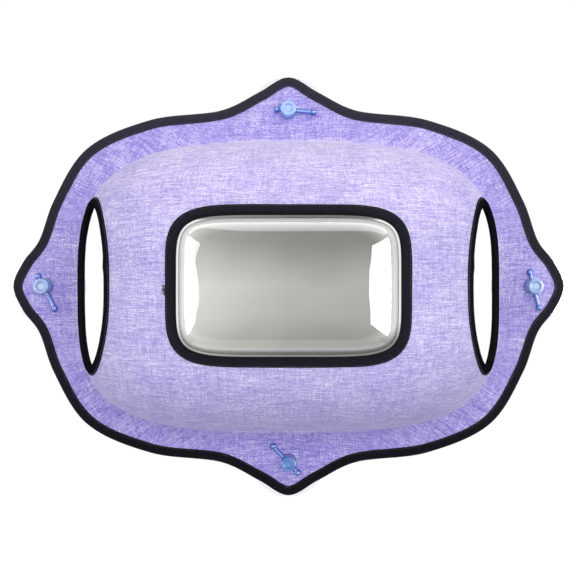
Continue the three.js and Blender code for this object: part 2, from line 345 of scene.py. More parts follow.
def add(
    tree: NodeTree,
    kind: str,
    inputs: Sequence[object] | dict[str, object] = (),
    stops: Ramp = (),
    **settings: object,
) -> Node:
    """Adds a node with its settings and links.

    Args:
        tree: The tree that gets it.
        kind: Node type without its ShaderNode prefix.
        inputs: What its inputs get, in their order or by name: a value, a
            socket, or a node whose first result is wanted.
        stops: Position and sRGB hex colour of each stop of a colour ramp.
        settings: Attributes of the node itself.

    Returns:
        The new node.
    """
    node = tree.nodes.new("ShaderNode" + kind)
    for key, value in settings.items():
        setattr(node, key, value)
    if isinstance(inputs, dict):
        for key, value in inputs.items():
            feed(tree, node.inputs[key], value)
    else:
        for socket, value in zip([s for s in node.inputs if s.enabled], inputs):
            feed(tree, socket, value)
    if stops:
        elements = node.color_ramp.elements
        while len(elements) < len(stops):
            elements.new(0.5)
        for element, (position, code) in zip(elements, stops):
            element.position = position
            element.color = linear(code)
    return node


# The values between which nearly all of a cloudy pattern lies.
CLOUDY: Pair = (0.3, 0.7)


def clouds(tree: NodeTree, coords: Node, size: Pair, seed: float) -> Node:
    """Soft unevenness about one half.

    Args:
        tree: The tree that gets it.
        coords: Millimetre coordinates.
        size: Size of a cloud along each coordinate.
        seed: Shifts the pattern.

    Returns:
        The node that gives it.
    """
    scaled = add(tree, "Mapping", {
        "Vector": coords,
        "Location": (seed, seed * 1.7, 0),
        "Scale": (1 / size[0], 1 / size[1], 1),
    })
    return add(
        tree, "TexNoise", {"Vector": scaled, "Scale": 1.0, "Detail": 2.0, "Roughness": 0.55},
        noise_dimensions="2D",
    )


def yarns(
    tree: NodeTree, along: Node, across: Node, pitch: float, length: float, seed: float
) -> Node:
    """Parallel yarns, each light and dark along its length by itself.

    Args:
        tree: The tree that gets them.
        along: Millimetres along the yarns.
        across: Millimetres across them.
        pitch: Distance from one yarn to the next.
        length: How far a light or dark stretch runs.
        seed: Which of many patterns to use.

    Returns:
        The node that gives the tone, about one half.
    """
    far_apart = 7.31  # so that the noise of one yarn tells nothing of the next
    row = add(tree, "Math", [across, pitch], operation="DIVIDE")
    whole = add(tree, "Math", [row], operation="FLOOR")
    apart = add(tree, "Math", [whole, far_apart, seed], operation="MULTIPLY_ADD")
    run = add(tree, "Math", [along, length], operation="DIVIDE")
    place = add(tree, "CombineXYZ", [run, apart])
    return add(
        tree, "TexNoise", {"Vector": place, "Scale": 1.0, "Detail": 2.0, "Roughness": 0.6},
        noise_dimensions="2D",
    )


def ribs(tree: NodeTree, coords: Node, pitch: float, drift: float, sway: float) -> NodeSocket:
    """Parallel ribs that sway a little.

    Args:
        tree: The tree that gets them.
        coords: Millimetre coordinates, with the first across the ribs.
        pitch: Distance from one rib to the next.
        drift: How fast the sway changes along a rib, beside across it.
        sway: How strongly the ribs sway.

    Returns:
        Their height, from 0 to 1.
    """
    scaled = add(tree, "Mapping", {"Vector": coords, "Scale": (1 / pitch, drift / pitch, 1)})
    wave = add(
        tree, "TexWave", {"Vector": scaled, "Scale": 0.5, "Distortion": sway, "Detail": 1.0},
        wave_type="BANDS", bands_direction="X",
    )
    return wave.outputs["Fac"]


def flow_marked(tree: NodeTree, value: NodeSocket | Node, marks: float, amount: float) -> Node:
    """Makes a value uneven, as the flow of the melt does in moulding.

    Args:
        tree: The tree that gets the nodes.
        value: What is made uneven.
        marks: Flow marks per metre.
        amount: How far they shift the value in all.

    Returns:
        The node that gives the uneven value.
    """
    place = add(tree, "TexCoord").outputs["Object"]
    flow = add(tree, "TexNoise", {"Vector": place, "Scale": marks, "Detail": 2.0})
    raised = add(tree, "Math", [flow, amount, value], operation="MULTIPLY_ADD")
    return add(tree, "Math", [raised, amount / 2], operation="SUBTRACT")


def fresh(name: str) -> tuple[Material, NodeTree, Node]:
    """A new node material, its tree and its Principled shader.

    Args:
        name: The material's name.

    Returns:
        The material, its tree and the shader in it.
    """
    material = bpy.data.materials.new(name)
    material.use_nodes = True
    return material, material.node_tree, material.node_tree.nodes["Principled BSDF"]


@dataclass(frozen=True)
class Finish:
    """A material, named for what the real one is and how it was made."""

    name: str

    def look(self, tree: NodeTree) -> dict[str, object]:
        """What each socket of the shader gets: a value, a socket or a node.

        Args:
            tree: The material's tree.

        Returns:
            What each socket of the shader gets.
        """
        raise NotImplementedError

    def make(self) -> Material:
        """Builds the material.

        Returns:
            The new material.
        """
        material, tree, shader = fresh(self.name)
        for socket, value in self.look(tree).items():
            feed(tree, shader.inputs[socket], value)
        return material


@dataclass(frozen=True)
class HeatheredLinen(Finish):
    """Woven polyester with slubbed yarns, formed hot over foam.

    The eye sees white horizontal slubs and short violet dashes on lilac.  Where
    the pod was drawn out the cloth goes paler, and that paleness also carries
    painted light and shade, as the "mask" map gives it.  On the flange's corners
    its yarns are pulled aslant.  The real yarns are about 0.5 mm apart and are
    drawn at 0.62 mm, as coarse as they need to be to show.
    """

    name: str = "heathered_polyester_linen_weave"
    drawn: Ramp = ((0.0, "#A59BD5"), (0.5, "#C8BFE9"), (1.0, "#EDE9FC"))
    flat: Ramp = ((0.0, "#7064C0"), (0.5, "#A599DD"), (1.0, "#E3DEF9"))
    yarn: float = 0.62
    slub_yarn: float = 1.25
    end_yarn: float = 1.1
    lone_yarn: float = 1.6
    slub: float = 26.0
    dash: float = 4.5
    warp_share: float = 0.34
    drift: Pair = (70.0, 40.0)
    drift_x: float = 4.0
    drift_y: float = 5.0
    contrast: Pair = (0.36, 0.64)
    patch: Pair = (60.0, 40.0)
    patchiness: float = 0.06

    def weave(self, tree: NodeTree, coords: Node, seed: float) -> Node:
        """The cloth's tone, with its weft along the first coordinate.

        Slubs and dashes make the weft, close ends and a few thick lone ones the
        warp.  Their pitches are multiples of the yarn's.

        Args:
            tree: The material's tree.
            coords: Millimetres along the weft and the warp.
            seed: Which of many patterns to use.

        Returns:
            The node that gives the tone, about one half.
        """
        axes = add(tree, "SeparateXYZ", [coords])
        drift = clouds(tree, coords, self.drift, seed)
        x, y = (
            add(tree, "Math", [drift, far, axes.outputs[axis]], operation="MULTIPLY_ADD")
            for far, axis in ((self.drift_x, "X"), (self.drift_y, "Y"))
        )
        slubs = yarns(tree, x, y, self.yarn * self.slub_yarn, self.slub, seed)
        dashes = yarns(tree, x, y, self.yarn, self.dash, seed + 31)
        weft = add(tree, "Mix", [0.5, slubs, dashes])
        ends = yarns(tree, y, x, self.yarn * self.end_yarn, self.dash, seed + 67)
        lone = yarns(tree, y, x, self.yarn * self.lone_yarn, self.slub, seed + 90)
        warp = add(tree, "Mix", [0.5, ends, lone])
        return add(tree, "Mix", [self.warp_share, weft, warp])

    def look(self, tree: NodeTree) -> dict[str, object]:
        """Matte cloth, coloured by its weave and by how far it was drawn, with painted light and
        shade.

        Args:
            tree: The material's tree.

        Returns:
            What each socket of the shader gets.
        """
        cloth = add(tree, "UVMap", uv_map="cloth")
        slanted = add(tree, "UVMap", uv_map="slanted")
        masks = add(tree, "SeparateXYZ", [add(tree, "UVMap", uv_map="mask")])
        straight = self.weave(tree, cloth, 3.0)
        aslant = self.weave(tree, slanted, 140.0)
        woven = add(tree, "Mix", [masks.outputs["Y"], straight, aslant])
        spread = add(tree, "MapRange", [woven, *self.contrast])
        patches = clouds(tree, cloth, self.patch, 11.0)
        shift = add(tree, "MapRange", [patches, *CLOUDY, -self.patchiness, self.patchiness])
        tone = add(tree, "Math", [spread, shift], operation="ADD")
        # The drawn colours carry the drawn cloth's paleness and painted light and shade, as the
        # mask gives them.
        flat = add(tree, "ValToRGB", [tone], self.flat)
        drawn = add(tree, "ValToRGB", [tone], self.drawn)
        return {
            "Base Color": add(tree, "Mix", [masks.outputs["X"], flat, drawn], data_type="RGBA"),
            "Roughness": 0.92,
            "Specular IOR Level": 0.15,
            "Sheen Weight": 0.08,
            "Sheen Roughness": 0.5,
            "Normal": add(tree, "Bump", {"Strength": 0.3, "Distance": 0.3 * MM, "Height": tone}),
        }


@dataclass(frozen=True)
class KnitLining(Finish):
    """Warp knitted polyester: matte, with close ribs of loops that run up it.

    The ribs are 1 mm apart on the real cloth and are drawn at 1.8 mm to show.
    """

    name: str = "warp_knitted_polyester_lining"
    pitch: float = 1.8
    rib_share: float = 0.6
    fleck: Pair = (1.6, 3.2)
    colours: Ramp = ((0.2, "#8F82CC"), (0.5, "#A89CDC"), (0.8, "#BDB3E8"))

    def look(self, tree: NodeTree) -> dict[str, object]:
        """Matte ribs with flecks.

        Args:
            tree: The material's tree.

        Returns:
            What each socket of the shader gets.
        """
        cloth = add(tree, "UVMap", uv_map="cloth")
        loops = ribs(tree, cloth, self.pitch, drift=0.5, sway=1.2)
        tone = add(tree, "Mix", [self.rib_share, loops, clouds(tree, cloth, self.fleck, 9.0)])
        return {
            "Base Color": add(tree, "ValToRGB", [tone], self.colours),
            "Roughness": 0.95,
            "Specular IOR Level": 0.2,
            "Normal": add(tree, "Bump", {"Strength": 0.5, "Distance": 0.3 * MM, "Height": tone}),
        }


@dataclass(frozen=True)
class FoamSheet(Finish):
    """Closed cell EVA foam, skived from a block: matte, finely pitted."""

    name: str = "closed_cell_eva_foam"
    cell: float = 0.9
    colours: Ramp = ((0.0, "#6F6A8A"), (0.7, "#948FAE"))

    def look(self, tree: NodeTree) -> dict[str, object]:
        """Matte, darker in the pits.

        Args:
            tree: The material's tree.

        Returns:
            What each socket of the shader gets.
        """
        place = add(tree, "TexCoord").outputs["Object"]
        pits = add(tree, "TexVoronoi", {"Vector": place, "Scale": 1 / (self.cell * MM)})
        return {
            "Base Color": add(tree, "ValToRGB", [pits], self.colours),
            "Roughness": 0.95,
            "Normal": add(tree, "Bump", {"Strength": 0.4, "Distance": 0.2 * MM, "Height": pits}),
        }


@dataclass(frozen=True)
class BindingTapeCloth(Finish):
    """Black woven polyester tape, folded over an edge and sewn.

    It shows close ribs across its length, at 1.6 mm so that they show, and has
    a faint grey sheen.  Its black may be graded with painted light and shade,
    darker low on the perch and paler high on it, over a reach in metres below
    and above the middle.
    """

    name: str = "black_woven_binding_tape"
    rib: float = 1.6
    rib_share: float = 0.6
    yarn: Pair = (5.0, 0.9)
    low: Ramp = ((0.2, "#14151B"), (0.55, "#202128"), (0.85, "#2F3039"))
    high: Ramp = low
    reach: float = 0.2
    sheen: float = 0.14

    def look(self, tree: NodeTree) -> dict[str, object]:
        """Near black ribs without gloss, graded by height with painted light and shade.

        Args:
            tree: The material's tree.

        Returns:
            What each socket of the shader gets.
        """
        tape = add(tree, "UVMap", uv_map="tape")
        across = ribs(tree, tape, self.rib, drift=0.2, sway=0.8)
        tone = add(tree, "Mix", [self.rib_share, across, clouds(tree, tape, self.yarn, 21.0)])
        place = add(tree, "SeparateXYZ", [add(tree, "TexCoord").outputs["Object"]])
        # Painted light and shade: low tones below the middle, high tones above it.
        rise = add(tree, "MapRange", [place.outputs["Z"], -self.reach, self.reach])
        low = add(tree, "ValToRGB", [tone], self.low)
        high = add(tree, "ValToRGB", [tone], self.high)
        return {
            "Base Color": add(tree, "Mix", [rise, low, high], data_type="RGBA"),
            "Roughness": 0.75,
            "Specular IOR Level": 0.0,
            "Sheen Weight": self.sheen,
            "Sheen Roughness": 0.4,
            "Normal": add(tree, "Bump", {"Strength": 0.5, "Distance": 0.25 * MM, "Height": tone}),
        }


@dataclass(frozen=True)
class SewingThread(Finish):
    """Black spun polyester thread: a little glossier than the tape."""

    name: str = "black_spun_polyester_thread"
    ply: float = 0.5
    colours: Ramp = ((0.3, "#17181D"), (0.7, "#34353D"))

    def look(self, tree: NodeTree) -> dict[str, object]:
        """Near black, mottled by the twist of its plies.

        Args:
            tree: The material's tree.

        Returns:
            What each socket of the shader gets.
        """
        place = add(tree, "TexCoord").outputs["Object"]
        scale = 1 / (self.ply * MM)
        twist = add(tree, "TexNoise", {"Vector": place, "Scale": scale, "Detail": 1.0})
        return {"Base Color": add(tree, "ValToRGB", [twist], self.colours), "Roughness": 0.5}


@dataclass(frozen=True)
class ClearSheet(Finish):
    """PET sheet, vacuum formed: clear and hard glossed, with painted shade in its colour.

    The grey on the drawn dome is painted shade, the shade behind it as seen
    through it: darkest at its top and foot and towards its right.  The dome's
    edge stays clear, but for a narrow band of painted shade at the very top and a
    broader one at the foot.
    """

    name: str = "vacuum_formed_clear_pet"
    clear: str = "#F4F4F2"
    # Painted shade: the grey of the shade behind the dome, by height, and by side in across.
    painted_shade: Ramp = (
        (0.0, "#AAA9A4"), (0.14, "#B9B8B3"), (0.3, "#D1D0CB"), (0.5, "#DADAD4"),
        (0.66, "#C3C2BD"), (0.82, "#A5A49F"), (1.0, "#9B9A95"),
    )
    across: Ramp = ((0.1, "#FFFFFF"), (0.3, "#EBEBEB"), (0.5, "#D7D7D7"), (0.8, "#CECECE"))
    half_width: float = 110.0
    half_height: float = 70.0
    drawn_from: float = 240.0
    drawn_to: float = 263.0
    foot: Pair = (0.25, 0.1)
    head: Pair = (0.985, 0.998)
    patches: float = 14.0
    patchiness: float = 0.04

    def look(self, tree: NodeTree) -> dict[str, object]:
        """Clear at the dome's edge, with painted shade over the drawn dome.

        Args:
            tree: The material's tree.

        Returns:
            What each socket of the shader gets.
        """
        place = add(tree, "TexCoord").outputs["Object"]
        axes = add(tree, "SeparateXYZ", [place])
        patchy = add(tree, "TexNoise", {"Vector": place, "Scale": self.patches, "Detail": 1.0})
        drift = add(tree, "MapRange", [patchy, *CLOUDY, -self.patchiness, self.patchiness])
        rise, reach = self.half_height * MM, self.half_width * MM
        up = add(tree, "MapRange", [axes.outputs["Z"], -rise, rise])
        along = add(tree, "MapRange", [axes.outputs["X"], -reach, reach])
        tone = add(tree, "Math", [up, drift], operation="ADD")
        painted_shade_by_height = add(tree, "ValToRGB", [tone], self.painted_shade)
        shade = add(tree, "ValToRGB", [along], self.across)
        painted_shade = add(tree, "Mix", [1.0, painted_shade_by_height, shade], data_type="RGBA", blend_type="MULTIPLY")
        # Where the painted shade goes: over the drawn dome, and in a narrow band at its very top
        # and a broader one at its foot.
        near, far = -self.drawn_from * MM, -self.drawn_to * MM
        drawn = add(tree, "MapRange", [axes.outputs["Y"], near, far])
        foot = add(tree, "MapRange", [up, *self.foot])
        head = add(tree, "MapRange", [up, *self.head])
        ends = add(tree, "Math", [head, foot], operation="MAXIMUM")
        share = add(tree, "Math", [drawn, ends], operation="MAXIMUM")
        return {
            "Base Color": add(tree, "Mix", [share, linear(self.clear), painted_shade], data_type="RGBA"),
            "Roughness": 0.02,
            "IOR": 1.45,
            "Transmission Weight": 1.0,
        }


@dataclass(frozen=True)
class SoftVinyl(Finish):
    """Soft clear PVC, injection moulded.

    The eye sees a near clear cup, where it is thin.  The thick post is milky
    blue.  Its end carries painted light and shade, palest at its core and
    darkest round the recess in it.  The UV map "moulding" gives each place's
    radius and height in millimetres.
    """

    name: str = "soft_clear_pvc"
    thin: str = "#F2F5FA"
    side: str = "#82A5E2"
    end: Ramp = (
        (0.1, "#EFF5FF"), (0.36, "#D4E1F8"), (0.5, "#7F9FD4"), (0.66, "#A6C0EA"),
        (0.95, "#8AA9DC"),
    )
    post_radius: float = 10.0
    post_rise: Pair = (11.0, 18.0)
    end_rise: Pair = (36.0, 38.5)
    clear_thin: float = 0.95
    clear_thick: float = 0.12
    marks: float = 150.0
    marking: float = 0.16

    def look(self, tree: NodeTree) -> dict[str, object]:
        """Clear low down, milky from the post up, with rings of painted light and shade on its
        end.

        Args:
            tree: The material's tree.

        Returns:
            What each socket of the shader gets.
        """
        moulding = add(tree, "SeparateXYZ", [add(tree, "UVMap", uv_map="moulding")])
        radius, height = moulding.outputs["X"], moulding.outputs["Y"]
        # Painted light and shade on the post's end: pale at its core, dark round the recess.
        share = add(tree, "Math", [radius, self.post_radius], operation="DIVIDE")
        uneven = flow_marked(tree, share, self.marks, self.marking)
        rings = add(tree, "ValToRGB", [uneven], self.end)
        thick = add(tree, "MapRange", [height, *self.post_rise])
        body = add(tree, "ValToRGB", [thick], ((0.15, self.thin), (0.85, self.side)))
        top = add(tree, "MapRange", [height, *self.end_rise])
        clear = add(tree, "MapRange", [thick, 0.0, 1.0, self.clear_thin, self.clear_thick])
        return {
            "Base Color": add(tree, "Mix", [top, body, rings], data_type="RGBA"),
            "Roughness": 0.16,
            "IOR": 1.5,
            "Transmission Weight": clear,
        }


@dataclass(frozen=True)
class BluePlastic(Finish):
    """Clear blue polypropylene, moulded: paler where it is seen through its middle.

    Its outline is deep blue, as the light leaves a clear rod there.
    """

    name: str = "clear_blue_moulded_polypropylene"
    facing: Ramp = ((0.02, "#A6C4FB"), (0.1, "#5F8DE8"), (0.26, "#2F59BE"), (0.8, "#2448A2"))
    marks: float = 160.0
    marking: float = 0.08

    def look(self, tree: NodeTree) -> dict[str, object]:
        """Half gloss, with the light and dark of a clear rod painted into its colour, from its
        middle to its outline.

        Args:
            tree: The material's tree.

        Returns:
            What each socket of the shader gets.
        """
        # Painted light and shade, by the angle of view: pale in the middle, dark at the outline.
        edge = add(tree, "LayerWeight", {"Blend": 0.5}).outputs["Facing"]
        tone = flow_marked(tree, edge, self.marks, self.marking)
        return {
            "Base Color": add(tree, "ValToRGB", [tone], self.facing),
            "Roughness": 0.22,
            "IOR": 1.49,
            "Transmission Weight": 0.2,
        }


# ------------------------------------------------------------------- the form


@dataclass(frozen=True)
class PodForm:
    """The pod's room-side surface: flange, eased crease, drawn wall and land."""

    foot_width: float = 520.0
    foot_height: float = 358.0
    foot_top_exponent: float = 3.2
    foot_bottom_exponent: float = 3.6
    depth: float = 212.0
    crease_ease: float = 4.0
    land_ease: float = 6.0
    lip_share: float = 0.07
    section: tuple[Pair, ...] = ((0, 0), (0.16, 0.52), (0.32, 0.92), (1, 1))
    tab_reach_x: float = 81.2
    tab_reach_z: float = 79.7
    quarter: tuple[Pair, ...] = (
        (1, 0), (0.966, 0.111), (0.909, 0.211), (0.853, 0.409),
        (0.735, 0.655), (0.506, 0.794), (0.234, 0.845), (0.104, 0.93), (0, 1),
    )
    span_sides: tuple[int, ...] = (2, 1, 1, 2, 2, 1, 2, 2)
    window_width: float = 235.0
    window_height: float = 149.0
    window_exponent: float = 5.6
    window_land: float = 14.0
    flange_front: float = 19.2
    laminate: float = 5.2
    columns: int = 208
    flange_rows: int = 8
    ease_rows: int = 5
    wall_rows: int = 24
    land_rows: int = 4

    @property
    def land_front(self) -> float:
        """Height of the land round the window."""
        return self.flange_front + self.depth

    def knot(self, n: int) -> Vector:
        """Point n of the flange's outline, counted all the way round.

        Args:
            n: Which point, from 0 at the right-hand tab's tip.

        Returns:
            Its place in the outline's plane.
        """
        spans = len(self.quarter) - 1
        quadrant, step = divmod(n % (4 * spans), spans)
        x, z = self.quarter[step if quadrant % 2 == 0 else spans - step]
        half_x = self.foot_width / 2 + self.tab_reach_x
        half_z = self.foot_height / 2 + self.tab_reach_z
        left = quadrant in (1, 2)
        low = quadrant in (2, 3)
        return Vector((-x * half_x if left else x * half_x, -z * half_z if low else z * half_z))

    def flange(self, share: float) -> Vector:
        """The flange's raw edge at a share of the way round.

        Args:
            share: Share of the way round, from the right-hand tab's tip.

        Returns:
            Its place in the outline's plane.
        """
        quadrant, local = divmod(share % 1.0 * 4, 1.0)
        back = int(quadrant) % 2 == 1
        sides = (1 - local if back else local) * sum(self.span_sides)
        span = 0
        while span < len(self.span_sides) - 1 and sides > self.span_sides[span]:
            sides -= self.span_sides[span]
            span += 1
        place = span + sides / self.span_sides[span]
        whole = int(quadrant) * len(self.span_sides)
        return self.outline(whole + (len(self.span_sides) - place if back else place))

    def outline(self, along: float) -> Vector:
        """The centripetal spline through the outline's knots.

        Args:
            along: Which knot it has passed, and the share of the way to the next.

        Returns:
            Its place in the outline's plane.
        """
        n = math.floor(along)
        t = along - n
        a, b, c, d = (self.knot(n + k) for k in (-1, 0, 1, 2))
        ab, bc, cd = (math.sqrt((q - p).length) for p, q in ((a, b), (b, c), (c, d)))
        start = ((b - a) / ab - (c - a) / (ab + bc) + (c - b) / bc) * bc
        end = ((c - b) / bc - (d - b) / (bc + cd) + (d - c) / cd) * bc
        return (
            b + start * t + (c * 3 - b * 3 - start * 2 - end) * t**2
            + (b * 2 - c * 2 + start + end) * t**3
        )

    def foot(self, share: float) -> Vector:
        """The foot of the wall on the flange.

        Args:
            share: Share of the way round.

        Returns:
            Its place in the outline's plane.
        """
        angle = TURN * share
        exponent = self.foot_top_exponent if math.sin(angle) > 0 else self.foot_bottom_exponent
        x = power_share(math.cos(angle), exponent) * self.foot_width / 2
        z = power_share(math.sin(angle), exponent) * self.foot_height / 2
        return Vector((x, z))

    def window(self, share: float, past: float = 0.0) -> Vector:
        """The window's edge, moved outward by a distance.

        Args:
            share: Share of the way round.
            past: The distance outward.

        Returns:
            Its place in the outline's plane.
        """
        angle = TURN * share
        x = power_share(math.cos(angle), self.window_exponent)
        z = power_share(math.sin(angle), self.window_exponent)
        edge = Vector((x * self.window_width / 2, z * self.window_height / 2))
        steep = self.window_exponent - 1
        out = Vector((
            math.copysign(abs(x) ** steep, x) / self.window_width,
            math.copysign(abs(z) ** steep, z) / self.window_height,
        ))
        return edge + out.normalized() * past

    def land(self, share: float) -> Vector:
        """The edge of the flat land round the window."""
        return self.window(share, self.window_land)

    def section_at(self, t: float) -> Pair:
        """How far inward and forward the wall has come, as shares."""
        weights = ((1 - t) ** 3, 3 * (1 - t) ** 2 * t, 3 * (1 - t) * t**2, t**3)
        return tuple(sum(w * p[k] for w, p in zip(weights, self.section)) for k in (0, 1))

    def wall(self, share: float, t: float) -> Vector:
        """A point on the wall at a share of the way from foot to land.

        Args:
            share: Share of the way round.
            t: Share of the way from foot to land.

        Returns:
            The point, in millimetres.
        """
        inward, forward = self.section_at(t)
        flat = self.foot(share).lerp(self.land(share), inward)
        return at_height(flat, self.flange_front + self.depth * forward)

    def profile(self, share: float) -> list[Vector]:
        """The section of the whole surface, from flange edge to window edge.

        Args:
            share: Share of the way round.

        Returns:
            Its points, in millimetres, in the order of their rows.
        """
        little = 0.01
        foot = self.foot(share)
        out = (foot - self.land(share)).normalized()
        start = at_height(foot + out * self.crease_ease, self.flange_front)
        corner = at_height(foot, self.flange_front)
        rise = (self.wall(share, little) - corner).length / little
        first = self.crease_ease / rise
        last = 1 - self.lip_share
        edge = at_height(self.flange(share), self.flange_front)
        land = at_height(self.land(share), self.land_front)
        window = at_height(self.window(share), self.land_front)
        inner = land + (window - land).normalized() * self.land_ease
        crease = (start, corner, self.wall(share, first))
        lip = (self.wall(share, last), land, inner)
        flange, ease, wall, shelf = (
            [k / count for k in range(count)]
            for count in (self.flange_rows, self.ease_rows, self.wall_rows, self.land_rows - 1)
        )
        return [
            *(edge.lerp(start, k) for k in flange),
            *(bezier(crease, k) for k in ease),
            *(self.wall(share, lerp(first, last, k)) for k in wall),
            *(bezier(lip, k) for k in ease),
            *(inner.lerp(window, k) for k in [*shelf, 1.0]),
        ]


@dataclass(frozen=True)
class EntryForm:
    """The entry in the right-hand wall: its edge follows the drawn wall."""

    height: float = 185.0
    near_depth: float = 17.0
    tip_depth: float = 74.0
    far_depth: float = 177.0
    near_exponent: float = 3.1
    far_exponent: float = 3.0
    steps: int = 128

    def share_at_depth(self, form: PodForm, depth: float) -> float:
        """The wall's share at a depth in front of the flange."""
        return crossing(0.0, 1.0, lambda t: form.depth * form.section_at(t)[1] < depth)

    def column_at(self, form: PodForm, z: float, t: float) -> float:
        """The share of the way round at which the right-hand wall passes a Z."""
        return crossing(-0.25, 0.25, lambda share: form.wall(share, t).z < z)

    def edge(self, form: PodForm) -> list[tuple[Vector, Vector]]:
        """The entry's edge and the wall's outward direction at each step.

        Args:
            form: The pod that it is cut in.

        Returns:
            A point and a direction for each step.
        """
        little, sideways = 0.01, 0.002
        result = []
        for k in range(self.steps):
            angle = TURN * k / self.steps
            far = math.sin(angle) > 0
            exponent = self.far_exponent if far else self.near_exponent
            reach = self.far_depth - self.tip_depth if far else self.tip_depth - self.near_depth
            z = power_share(math.cos(angle), exponent) * self.height / 2
            depth = self.tip_depth + power_share(math.sin(angle), exponent) * reach
            t = self.share_at_depth(form, depth)
            share = self.column_at(form, z, t)
            up = form.wall(share, t + little) - form.wall(share, t - little)
            along = form.wall(share + sideways, t) - form.wall(share - sideways, t)
            outward = up.cross(along).normalized()
            if outward.x < 0:
                outward.negate()
            result.append((form.wall(share, t), outward))
        return result


# ----------------------------------------------------------------- the pieces


@dataclass
class Laminate:
    """Cover, foam and lining, formed together and cut for the entries and posts.

    Its UV maps are "cloth" and "slanted", the millimetres along the weft and the
    warp as the cloth lies straight or aslant, and "mask", which says how pale the
    cloth is made and how much of it lies aslant: the paleness is partly how far
    the cloth was drawn out and partly painted light and shade.  Distances along a
    column count from the crease: below 0 on the flange, above 0 on the wall.
    """

    form: PodForm
    entry: EntryForm
    cover: float = 0.7
    foam: float = 3.2
    lining: float = 0.7
    post_hole: float = 10.5
    plug_length: float = 60.0
    unevenness: float = 0.45
    swell_size: float = 70.0
    fade_rows: int = 8
    stretch: float = 0.3
    slant: float = math.radians(30)
    corner_x: Pair = (60, 140)
    corner_z: Pair = (60, 130)
    slant_end: Pair = (-1.0, 14.0)
    crease: Pair = (-1.0, 3.0)
    # Slower fades at the corners keep them in painted shade, most at the upper left.
    fade_low: float = 4.0
    fade_upper_left: float = 55.0
    fade_upper_right: float = 12.0
    # Painted shade higher up the wall and at its upper sides.
    wall_rise: Pair = (4.0, 70.0)
    painted_shade_up_wall: float = 0.46
    side_x: Pair = (120, 200)
    side_z: Pair = (-50, 110)
    painted_shade_at_upper_sides: float = 0.4

    def __post_init__(self) -> None:
        """Works out the surface that all layers share."""
        n = self.form.columns
        self.rows = list(zip(*(self.form.profile(i / n) for i in range(n))))
        self.normals = [[self.normal(j, i) for i in range(n)] for j in range(len(self.rows))]
        self.rows = [
            [p + self.normals[j][i] * self.swell(j, p) for i, p in enumerate(row)]
            for j, row in enumerate(self.rows)
        ]
        self.past_crease = [self.distances([row[i] for row in self.rows]) for i in range(n)]

    def normal(self, j: int, i: int) -> Vector:
        """The surface's direction towards the room at a row and column.

        Args:
            j: The row.
            i: The column.

        Returns:
            The direction, of length 1.
        """
        n = self.form.columns
        along = self.rows[j][(i + 1) % n] - self.rows[j][i - 1]
        last = len(self.rows) - 1
        up = self.rows[min(j + 1, last)][i] - self.rows[max(j - 1, 0)][i]
        out = up.cross(along).normalized()
        return -out if out.y > 0 else out

    def swell(self, j: int, point: Vector) -> float:
        """Slight unevenness of the drawn wall, none on the flange or the land.

        Args:
            j: The row.
            point: The place there.

        Returns:
            How far the surface is raised.
        """
        inside = min(j - self.form.flange_rows, len(self.rows) - self.fade_rows - j)
        share = smooth(0, 1, inside / self.fade_rows)
        return self.unevenness * share * ripple(point, self.swell_size, 4.0)

    def distances(self, column: list[Vector]) -> list[float]:
        """Distance along a column at each row, from the crease.

        Args:
            column: The column's points.

        Returns:
            A distance for each row.
        """
        steps = [0.0]
        for a, b in zip(column, column[1:]):
            steps.append(steps[-1] + (b - a).length)
        return [step - steps[self.form.flange_rows] for step in steps]

    def cloth_at(self, i: int, j: int) -> Pair:
        """Millimetres along the weft and the warp of the drawn pod.

        Args:
            i: The column.
            j: The row.

        Returns:
            Both, in millimetres.
        """
        point = self.rows[j][i % self.form.columns]
        drop = self.stretch * (self.form.land_front + point.y)
        out = Vector((point.x, point.z)).normalized()
        return (point.x + out.x * drop, point.z + out.y * drop)

    def slanted_at(self, i: int, j: int) -> Pair:
        """The same where the flange's corners were pulled aslant to the pod.

        Args:
            i: The column.
            j: The row.

        Returns:
            Both, in millimetres.
        """
        apart = 1000.0  # so that no corner's weave repeats another's
        point = self.rows[j][i % self.form.columns]
        side, rise = abs(point.x), abs(point.z)
        cos, sin = math.cos(self.slant), math.sin(self.slant)
        corner = math.copysign(apart, point.x) + math.copysign(2 * apart, point.z)
        return (side * cos + rise * sin + corner, rise * cos - side * sin)

    def mask_at(self, i: int, j: int) -> Pair:
        """How pale the cloth is made, and how much of it lies aslant.

        The paleness is partly the cloth drawn out and partly painted light and
        shade.  It rises from the crease on, over a longer way at the corners, so
        that they stay darker as painted shade, longest at the upper left.  Just past
        the crease it holds painted light: the wall loses some of it again higher
        up, and at its upper sides, as painted shade.

        Args:
            i: The column.
            j: The row.

        Returns:
            The two shares.
        """
        past = self.past_crease[i % self.form.columns][j]
        point = self.rows[j][i % self.form.columns]
        side, rise = abs(point.x), abs(point.z)
        aslant = smooth(*self.corner_x, side) * smooth(*self.corner_z, rise)
        # Painted shade: the paleness rises more slowly at the corners, most at the upper left.
        fade = self.fade_upper_left if point.x < 0 else self.fade_upper_right
        if point.z < 0:
            fade = self.fade_low
        start, end = self.crease
        # Painted light just past the crease, painted shade higher up the wall and at its upper
        # sides.
        upper = 1 - self.painted_shade_up_wall * smooth(*self.wall_rise, past)
        beside = 1 - self.painted_shade_at_upper_sides * smooth(*self.side_x, side) * smooth(*self.side_z, point.z)
        drawn = smooth(start, end + fade * aslant, past) * upper * beside
        return (drawn, aslant * (1 - smooth(*self.slant_end, past)))

    def layer(self, near: float, far: float) -> bmesh.types.BMesh:
        """A closed layer between two depths below the room-side surface.

        Args:
            near: Depth of its room side.
            far: Depth of its glass side.

        Returns:
            The closed mesh, in metres.
        """
        count = len(self.rows)
        n = self.form.columns

